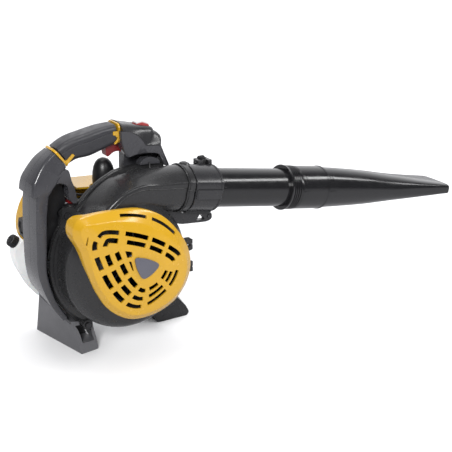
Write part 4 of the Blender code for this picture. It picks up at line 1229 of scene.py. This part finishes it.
def build_handle():
    for name, node, side in (
        ("handle_near_half", "handle_right_half", -1), ("handle_far_half", "handle_left_half", 1)
    ):
        half = make_piece(name, arch(BAND, 3.2, 6), "handle_grey", None)
        fuse(half, arch(SHOULDER_ARCH, 5, 6), arch(CORE, 3, 3, 2))
        panel = make_piece("panel", head_solid(0.7), "handle_grey", None)
        combine(panel, "INTERSECT", prism(head_panel(-0.5), -60, 60))
        shape = bmesh.new()
        shape.from_mesh(panel.data)
        shape.transform(TO_FRAME.inverted())
        bpy.data.objects.remove(panel)
        fuse(half, shape)
        if side > 0:
            column = rounded([(24, 268), (77, 268), (84, 307), (78, 325), (26, 325)], 4, 4)
            fuse(half, prism(column, 1.5, 20))
        fuse(half, prism(rounded(PRONG, 4, 4), -24, 24))
        cut(half, pocket(), block(*TRIGGER_SLOT))
        cut(half, rod(TRIGGER_PIVOT, (0, 1, 0), 2.4, -16, 16, 24))
        reach = sorted((side * SPLIT, -side * 200))
        cut(half, block((-160, reach[0], -10), (120, reach[1], 400)))
        cut(half, block((38, -9.5, 340), (72, 9.5, 380)))
        settle(half, "handle_grey", "housing", node, 30)


def build_head_cover():
    cover = make_piece("head_cover_shell", head_solid(), "grey_plastic", None)
    cut(cover, prism(head_panel(0), -60, 60))
    core = [(0, 300), (0, 358), (20, 357), (40, 351.5), (60, 345), (74, 338), (76, 331), (84, 300)]
    cut(cover, prism(core, -HEAD_HALF * 0.55, HEAD_HALF * 0.55))
    cut(cover, block((40, -9, 340), (71, 9, 380)), block((-5, -60, 300), (12, 60, 400)))
    settle(cover, "grey_plastic", "housing", "head_cover", 30)


def ring_solid(zone):
    if zone == "rear":
        return ((-88.0, 329.9, 128, 17.6, -20.2, 20.2, 0), (-85.4, 331.9, 127, 17.6, -20.2, 20.2, 0))
    return ((8.2, 355.3, 90, 15.7, -19.2, 19.2, 0), (10.8, 355.4, 89, 15.7, -19.2, 19.2, 0))


def ring_cutter(zone, margin):
    first, last = ring_solid(zone)
    step = (Vector(last[:2]) - Vector(first[:2])).normalized()
    start = Vector(first[:2]) - step * (margin + (9 if zone == "rear" else 0))
    end = Vector(last[:2]) + step * (margin + (0 if zone == "rear" else 9))
    rings = ((*start, first[2], 30, -40, 40, 0), (*end, last[2], 30, -40, 40, 0))
    return skin([arch_ring(*station, 2, 1) for station in rings])


def core_hollow():
    wider = [(x, z, a, t + GAP, low - GAP, high + GAP, rise) for x, z, a, t, low, high, rise in CORE]
    return arch(wider, 3, 3, 2)


def build_grip():
    grip = make_piece("grip_sleeve", arch(GRIP, 9, 8, 8), "grip_rubber", None)
    crease = []
    for x, z, angle, thickness, low, _, _ in catmull(GRIP, 8):
        a = math.radians(angle)
        crease.append(Vector((x, low - 0.5, z)) + Vector((math.cos(a), 0, math.sin(a))) * (thickness * 0.30))
    cut(grip, bead(crease, 1.0, 10))
    cut(grip, core_hollow(), block(*TRIGGER_SLOT))
    cut(grip, ring_cutter("rear", GAP), ring_cutter("front", GAP))
    settle(grip, "grip_rubber", "housing", "soft_grip", 40)
    for zone in ("rear", "front"):
        corner = 9 if zone == "rear" else 8
        ring = make_piece(
            f"ring_{zone}", skin([arch_ring(*s, corner, 10) for s in ring_solid(zone)]),
            "yellow_plastic", None
        )
        cut(ring, core_hollow(), block(*TRIGGER_SLOT))
        settle(ring, "yellow_plastic", "housing", f"grip_ring_{zone}", 30, (0.6, 2, 40))
    build_ring_tabs()


def tab_solid(corners, y_low, y_high):
    return prism(rounded(corners, 1.2, 3), y_low, y_high)


def build_ring_tabs():
    """Tongues of the two rings that lie on the near side of the grip."""
    rear = [(-78, 321), (-74.5, 325), (-66, 333.5), (-69.5, 336.5), (-78, 328.5), (-83, 326)]
    make_piece(
        "ring_tab_rear", tab_solid(rear, -20.6, -17.2), "yellow_plastic", "housing",
        ("grip_ring_rear",), 30, 0.5
    )
    front = [(9, 351), (8, 360), (-1, 360.5), (-1.8, 355), (2.5, 354), (4, 351)]
    make_piece(
        "ring_tab_front", tab_solid(front, -19.8, -16.5), "yellow_plastic", "housing",
        ("grip_ring_front",), 30, 0.5
    )
    strip = catmull([(9.6, 356), (9, 350), (6.5, 344), (2.5, 340)], 4)
    back = catmull([(0, 341), (4, 346), (6.4, 351), (7, 356)], 4)
    make_piece(
        "ring_strip_front", prism(strip + back, -19.4, -16.5), "yellow_plastic", "housing",
        ("grip_ring_front",), 30, 0.4
    )


def build_trigger():
    hook = catmull(
        [
            (-9.2, 339), (-9.6, 331), (-9.0, 323), (-7.2, 319.8), (-4.6, 320), (0.5, 323.6),
            (7, 325.8), (14, 325.2), (20, 322.5)
        ],
        4
    )
    back = [(25, 330), (25, 341), (-3, 341)]
    trigger = make_piece("trigger_blade", prism(hook + back, -8, 8), "red_plastic", None)
    cut(trigger, rod(TRIGGER_PIVOT, (0, 1, 0), 2.4, -20, 20, 24))
    settle(trigger, "red_plastic", "trigger", "throttle_trigger", 30, (1.4, 4, 40))


def build_switch():
    base = rounded([(43.2, 356), (44.6, 364.2), (55, 365.6), (66, 360.8), (67.8, 353.4)], 2, 4)
    make_piece("switch_rocker", prism(base, -8, 8), "switch_red", "switch", ("stop_switch",), 30, 0.8)
    top = rounded([(44.6, 364), (45.2, 366), (55, 367.4), (66, 362.6), (66.2, 360.4), (55, 364)], 0.6, 3)
    make_piece("switch_inlay", prism(top, -7.2, 7.2), "switch_white", "switch", ("stop_switch",), 30, 0.3)


def build_dampers():
    profile = [(5, -10.5)]
    for k in range(4):
        y = -10.5 + 3.2 * k
        profile += [(13.5, y), (17, y + 0.6), (17, y + 1.8), (13.5, y + 2.4)]
    profile += [(5, 0.4)]
    bm = turned((62, 0, 292), (0, 1, 0), profile, 64)
    make_piece("damper_front", bm, "soft_rubber", "housing", ("front_damper",), 30)
    hook = catmull(
        [
            (50, -12, 301), (51, -16, 306), (55, -20, 307), (56, -24.5, 304.5), (54.5, -28, 299),
            (53.5, -31, 294)
        ],
        5
    )
    clip = bead([Vector(point) for point in hook], 1.5, 12)
    hump = catmull(
        [(40, 300), (40.5, 306), (46, 311), (56, 313), (66, 311), (73, 306), (75, 300)], 4
    ) + [(75, 294), (40, 294)]
    piece = make_piece("damper_cup", prism(hump, -25, -11), "handle_grey", None)
    cut(piece, prism(flange_outline(0.5), -30, -10))
    settle(piece, "handle_grey", "housing", "front_damper", 30, (1.6, 3, 40))
    make_piece("damper_clip", clip, "black_plastic", "housing", ("front_damper",), 60)


# ------------------------------------------------------------- chassis and feet

def build_chassis():
    outer = [
        (-74, 57), (-90, 80), (-106, 106), (-114, 134), (-116, 165), (-114, 200), (-110, 240),
        (-106.5, 280)
    ]
    inner = [(-80, 262), (-84, 235), (-84, 200), (-82, 165), (-76, 132), (-62, 104), (-44, 80), (-38, 60)]
    outline = catmull(outer, 4) + arc(-95, 282, 11.5, 170, 20, 16) + catmull(inner, 4)
    # Painted shade: the upright is made black because it sits in shadow between the arch and the housing flange.
    upright = make_piece("upright_panel", prism(outline, -7.5, 22), "black_plastic", None)
    cut(
        upright, rod((-86, -12, 243), (0, 1, 0), 8.6, 0, 9, 24),
        rod((-61, -12, 55), (0, 1, 0), 8.6, 0, 9, 24)
    )
    settle(upright, "black_plastic", "housing", "rear_frame", 30, (1.2, 3, 45))


# Near and far end of the rear foot, as matching points from the sole up its outer side and down again
FOOT_NEAR = (
    (-69, -13, 0), (-70, -12.2, 15), (-72.4, -11.2, 30), (-76.8, -10.4, 45), (-84.5, -9.3, 60),
    (-72, -9.3, 57), (-54, -9.3, 53), (-46, -9.3, 45), (-41, -9.3, 22), (-38, -9, 2), (-40, -9, 0),
)
FOOT_FAR = (
    (-96, 111, 0), (-95.6, 107.6, 15), (-95.2, 104, 30), (-94.8, 100.5, 45), (-94, 94, 74),
    (-86, 95, 70), (-74, 96, 60), (-67, 98, 50), (-63, 106, 22), (-62, 113, 2), (-63, 114, 0),
)


def build_rear_foot():
    rings = []
    for k in range(7):
        rings.append([Vector(near).lerp(Vector(far), k / 6) for near, far in zip(FOOT_NEAR, FOOT_FAR)])
    foot = make_piece("rear_foot_block", skin(rings), "foot_grey", None)
    recess = rounded(
        [(-66, 18), (-68.5, 31), (-72.5, 43), (-77, 51), (-60, 49), (-50, 43.5), (-46, 22), (-44, 18)],
        2, 4
    )
    cut(foot, prism(recess, -20, 30))
    cut(foot, rod((-61, -12, 55), (0, 1, 0), 8.6, 0, 9, 24))
    settle(foot, "foot_grey", "housing", "rear_foot", 30, (0.9, 3, 28))
    # Painted shade: a black plate at the back of the foot's recess stands in for the shade inside the pocket.
    inside = prism([(x - 0.3 * math.copysign(1, x + 60), z) for x, z in recess], 22, 28)
    make_piece("rear_foot_recess_shade", inside, "black_plastic", "housing", ("rear_foot",), 30)
    strip = []
    for y, z in ((90, 72.5), (-8.6, 59.4)):
        x = -94.0 + (90 - y) / 98.6 * 9.6
        strip.append([
            Vector((x - 0.9, y, z - 4)), Vector((x + 3, y, z - 4)), Vector((x + 3, y, z)),
            Vector((x, y, z))
        ])
    make_piece("rear_foot_rim", skin(strip), "handle_grey", "housing", ("rear_foot",), 30, 0.5)


def build_front_foot():
    """A wedge hollow from its far side, on an arm and a plate behind the housing."""
    near = rounded([(90, 0), (148, 0), (153, 6), (146, 20), (128, 40), (98, 62), (72, 62), (72, 44)], 4, 6)
    rings = []
    for y, shift in ((26, 0), (28, 0), (60, 6), (62, 6)):
        rings.append([Vector((x + shift * (x > 100), y, z)) for x, z in near])
    foot = make_piece("front_foot_block", skin(rings), "dark_plastic", None)
    cut(foot, prism(rounded([(94, 6), (140, 6), (130, 24), (112, 38), (92, 48)], 4, 4), 34, 70))
    plate = rounded([(52, 62), (66, 44), (108, 44), (100, 96), (84, 118), (58, 112)], 6, 5)
    fuse(foot, prism(plate, -9.6, -3), block((74, -5, 50), (96, 30, 60)))
    settle(foot, "dark_plastic", "housing", "front_foot", 30, (1.6, 4, 38))


# ------------------------------------------------------------------- engine side

def hexagon(low_y, high_y, low_z, high_z):
    middle = (low_z + high_z) / 2
    inset = (high_y - low_y) * 0.22
    return [(low_y, middle), (low_y + inset, low_z), (high_y - inset, low_z), (high_y, middle),
            (high_y - inset, high_z), (low_y + inset, high_z)]


def build_engine_cover():
    outline = [
        (-116, 170), (-126.5, 190), (-125.5, 214), (-116, 240), (-98, 266), (-60, 267), (-30, 264),
        (34, 260), (34, 176)
    ]
    inner = [
        (-116, 150), (-123.6, 190), (-122.6, 213.5), (-113.6, 238.5), (-97, 263), (-60, 264),
        (-30, 261), (60, 255), (60, 150)
    ]
    cover = make_piece("hood", prism(rounded(outline, 12, 8), 31, 92), "yellow_plastic", None)
    cut(cover, prism(rounded(inner, 10, 6), 20, 89))
    cut(cover, rod((0, 25, 240), (0, 0, 1), 23, 0, 50, 48), rod((0, 80, CRANK_Z), (0, 1, 0), 53, 0, 20, 72))
    window = rounded(hexagon(46, 74, 192, 220), 2.0, 3)
    cut(cover, skin([[Vector((x, y, z)) for y, z in window] for x in (-140, -110)]))
    cut(cover, block((-84, 20, 240), (-44, 46, 280)))
    for k in range(5):
        x = -112 + 12 * k
        cut(cover, prism(rounded([(x, 200), (x + 5, 198), (x + 9, 246), (x + 4, 248)], 2, 4), 84, 100))
    settle(cover, "yellow_plastic", "housing", "engine_cover", 30, (1.2, 3, 40))
    frame_ring = rounded(hexagon(45, 75, 191, 221), 2.4, 3)
    trim = make_piece(
        "hood_window", skin([[Vector((x, y, z)) for y, z in frame_ring] for x in (-128.6, -122.5)]),
        "black_plastic", None
    )
    cut(
        trim,
        skin([[
            Vector((x, y, z)) for y, z in rounded(hexagon(49.5, 70.5, 196, 216), 2, 3)
        ] for x in (-140, -127)])
    )
    settle(trim, "black_plastic", "housing", "engine_cover", 30)


def build_plug_boot():
    profile = [
        (18, 268.5), (18, 276), (17.4, 286), (15.6, 295), (12.5, 302), (8.5, 306.5), (4, 308.6),
        (0.3, 309)
    ]
    boot = make_piece("boot_hood", turned_solid((0, 25, 0), (0, 0, 1), profile, 64), "black_plastic", None)
    cut(boot, turned_solid((0, 25, 0), (0, 0, 1), [(15.4, 260), (15.4, 286), (9.6, 292), (9.6, 300)], 48))
    settle(boot, "black_plastic", "housing", "plug_boot", 35)


def build_tank():
    inner_side = [
        (-104, 171), (-96, 124), (-78, 84), (-66, 65), (29, 61), (37, 71), (37, 113), (-53, 117),
        (-61, 124), (-61, 171)
    ]
    outer_side = [
        (-112, 172), (-131, 152), (-126, 124), (-106, 82), (-94, 66), (30, 60), (38, 70), (38, 114),
        (-52, 118), (-60, 124), (-60, 172)
    ]
    tank = make_piece("tank_shell", prism(rounded(inner_side, 10, 6), 34, 101), "tank_white", None)
    fuse(tank, prism(rounded(outer_side, 10, 6), 98, 122))
    fuse(tank, rod(CAP_BASE, CAP_DIR, 9.6, -16, 3, 40))
    settle(tank, "tank_white", "housing", "fuel_tank", 30, (2.2, 4, 40))


# Distance along the cap's axis, radius, and depth of the grip notches
CAP_PROFILE = (
    (3.5, 9.8, 0.2), (4.5, 10.6, 0.9), (12.5, 10.4, 0.9), (14.0, 9.8, 0.8), (15.0, 8.6, 0.2), (15.5, 5.2, 0),
    (14.4, 4.2, 0), (14.4, 0.3, 0),
)


def build_cap():
    teeth = 18
    level, up = side_axes(CAP_DIR)
    rings = []
    for along, radius, depth in CAP_PROFILE:
        ring = []
        for k in range(teeth * 4):
            a = 2 * math.pi * k / (teeth * 4)
            reach = radius - (depth if k % 4 in (2, 3) else 0)
            ring.append(CAP_BASE + CAP_DIR * along + (level * math.cos(a) + up * math.sin(a)) * reach)
        rings.append(ring)
    make_piece("cap_body", skin(rings), "black_plastic", "tank_cap", ("fuel_cap",), 28)


def build_starter():
    grip = rounded([(5, 224), (52, 224), (55, 232), (49, 241), (8, 241), (2, 232)], 7, 8)
    handle = make_piece("pull_handle", prism(grip, 93, 107), "black_plastic", None)
    fuse(handle, turned_solid((28.5, 100, 0), (0, 0, 1), [(5, 216.4), (6.4, 218), (6.4, 226)], 32))
    for x in (14, 21, 36, 43):
        cut(handle, rod((x, 91.2, 241.4), (0, 1, 0), 2.0, 0, 20, 16))
    settle(handle, "black_plastic", "starter_grip", "starter_handle", 30, (2.0, 4, 40))
    path = [Vector((28.5, 100, 200 + 0.5 * k)) for k in range(38)]
    cord = make_piece("starter_cord", bead(path, 1.7, 16), "rope", None, (), 60)
    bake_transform(cord)


# ---------------------------------------------------------------- stage and view

# Where the studio is brightest, where shiny faces see the white wall, and the way of the key light
BRIGHT_SIDE = Vector((0.40, 0.66, 0.64))
BACK_WALL = Vector((0.53, 0.85, 0.10))
KEY_DIRECTION = Vector((1.08, 1.6, -1.15))
# Sun strength and the width of its disc in degrees
KEY_POWER, KEY_ANGLE = 2.5, 14
# Lamps as name, place and aim from the point under the crank axis, size in metres, and power in watts
LAMPS = (
    ("strip", (1.2, -1.25, 1.5), (0.3, -0.05, 0.22), (2.4, 0.28), 22),
    ("top", (0.1, 0.1, 1.9), (0.1, 0, 0.2), (1.2, 0.5), 10),
)
# The view: degrees round and above, the point looked at and the distance from it in metres
VIEW_AZIMUTH, VIEW_ELEVATION = -32, 20
VIEW_TARGET = (0.2, -0.02, 0.17)
VIEW_DISTANCE = 1.68
SENSOR_WIDTH = 36.0
# Focal length and picture width, both in picture points
FOCAL_LENGTH, PICTURE_WIDTH = 1000, 452


def build_stage():
    bm = bmesh.new()
    bmesh.ops.create_grid(bm, x_segments=1, y_segments=1, size=30)
    mesh = bpy.data.meshes.new("floor")
    bm.to_mesh(mesh)
    bm.free()
    floor = bpy.data.objects.new("floor", mesh)
    bpy.context.scene.collection.objects.link(floor)
    shader = Shader("floor_paper")
    cloud = shader.spread(shader.noise(0.6, 2), 0.0, 1.0)
    paper = shader.mix(cloud, (0.88, 0.88, 0.885), (0.90, 0.90, 0.90))
    path = shader.add("ShaderNodeLightPath")
    shader.set(base_color=shader.mix(path.outputs["Is Glossy Ray"], paper, (0.38, 0.38, 0.39)), roughness=0.9)
    mesh.materials.append(shader.material)


def area_light(name, place, aim, size, power):
    data = bpy.data.lights.new(name, "AREA")
    data.shape = "RECTANGLE"
    data.size, data.size_y = size
    data.energy = power
    data.spread = math.radians(180)
    light = bpy.data.objects.new(name, data)
    light.location = place
    light.rotation_euler = (Vector(aim) - Vector(place)).to_track_quat("-Z", "Y").to_euler()
    bpy.context.scene.collection.objects.link(light)


def world_mix(nodes, links, factor, first, second):
    """Mixes two colours, given as grey levels or as the outputs of other nodes."""
    node = nodes.new("ShaderNodeMix")
    node.data_type = "RGBA"
    links.new(factor, node.inputs["Factor"])
    for slot, value in ((6, first), (7, second)):
        if isinstance(value, float):
            node.inputs[slot].default_value = (value, value, value * 1.02, 1)
        else:
            links.new(value, node.inputs[slot])
    return node.outputs[2]


def world_side(nodes, links, direction, low, high):
    """0 to 1 as the view turns towards a direction, from one cosine to another."""
    place = nodes.new("ShaderNodeTexCoord")
    facing = nodes.new("ShaderNodeVectorMath")
    facing.operation = "DOT_PRODUCT"
    links.new(place.outputs["Generated"], facing.inputs[0])
    facing.inputs[1].default_value = direction
    rise = nodes.new("ShaderNodeMapRange")
    rise.interpolation_type = "SMOOTHSTEP"
    rise.inputs["From Min"].default_value = low
    rise.inputs["From Max"].default_value = high
    links.new(facing.outputs["Value"], rise.inputs["Value"])
    return rise.outputs["Result"]


def build_lights():
    """A white studio. Its light comes from above and behind, its reflections mostly from the wall
    behind, and a soft key from the left throws the shadow."""
    world = bpy.data.worlds.new("studio")
    bpy.context.scene.world = world
    world.use_nodes = True
    nodes, links = world.node_tree.nodes, world.node_tree.links
    path = nodes.new("ShaderNodeLightPath")
    soft = world_mix(nodes, links, world_side(nodes, links, BRIGHT_SIDE, -0.45, 0.80), 0.22, 1.10)
    wall = world_mix(nodes, links, world_side(nodes, links, BACK_WALL, 0.35, 0.95), 0.05, 1.25)
    shiny = world_mix(nodes, links, path.outputs["Is Glossy Ray"], soft, wall)
    seen = world_mix(nodes, links, path.outputs["Is Camera Ray"], shiny, 1.0)
    links.new(seen, nodes["Background"].inputs["Color"])
    sun = bpy.data.lights.new("key", "SUN")
    sun.energy = KEY_POWER
    sun.angle = math.radians(KEY_ANGLE)
    key = bpy.data.objects.new("key", sun)
    key.rotation_euler = KEY_DIRECTION.to_track_quat("-Z", "Y").to_euler()
    bpy.context.scene.collection.objects.link(key)
    for name, place, aim, size, power in LAMPS:
        area_light(name, START + Vector(place), START + Vector(aim), size, power)


def build_camera():
    """Seen from the intake side and behind, a little above."""
    azimuth, elevation = math.radians(VIEW_AZIMUTH), math.radians(VIEW_ELEVATION)
    target = START + Vector(VIEW_TARGET)
    back = Vector((
        math.sin(azimuth) * math.cos(elevation),
        -math.cos(azimuth) * math.cos(elevation),
        math.sin(elevation),
    ))
    data = bpy.data.cameras.new("camera")
    data.sensor_width = SENSOR_WIDTH
    data.lens = SENSOR_WIDTH * FOCAL_LENGTH / PICTURE_WIDTH
    camera = bpy.data.objects.new("camera", data)
    camera.location = target + back * VIEW_DISTANCE
    camera.rotation_mode = "QUATERNION"
    camera.rotation_quaternion = (-back).to_track_quat("-Z", "Y")
    bpy.context.scene.collection.objects.link(camera)
    bpy.context.scene.camera = camera


def dress_frame():
    """Gives every CAD node its own look and a fine edge radius."""
    for name, node in frame["nodes"].items():
        node.data.materials.clear()
        node.data.materials.append(LOOKS[NODE_SLOT[name]])
        round_edges(node, 0.35, 2, 35)


bpy.context.scene.view_settings.view_transform = "Standard"
STEPS = (
    dress_frame, build_grille, build_hinge, build_badge, build_fan_housing, build_collar,
    build_clamp, build_knob, build_lug, build_tube, build_nozzle, build_handle, build_head_cover,
    build_grip, build_trigger, build_switch, build_dampers, build_chassis, build_rear_foot,
    build_front_foot, build_engine_cover, build_plug_boot, build_tank, build_cap, build_starter,
    build_stage, build_lights, build_camera,
)
for step in STEPS:
    step()
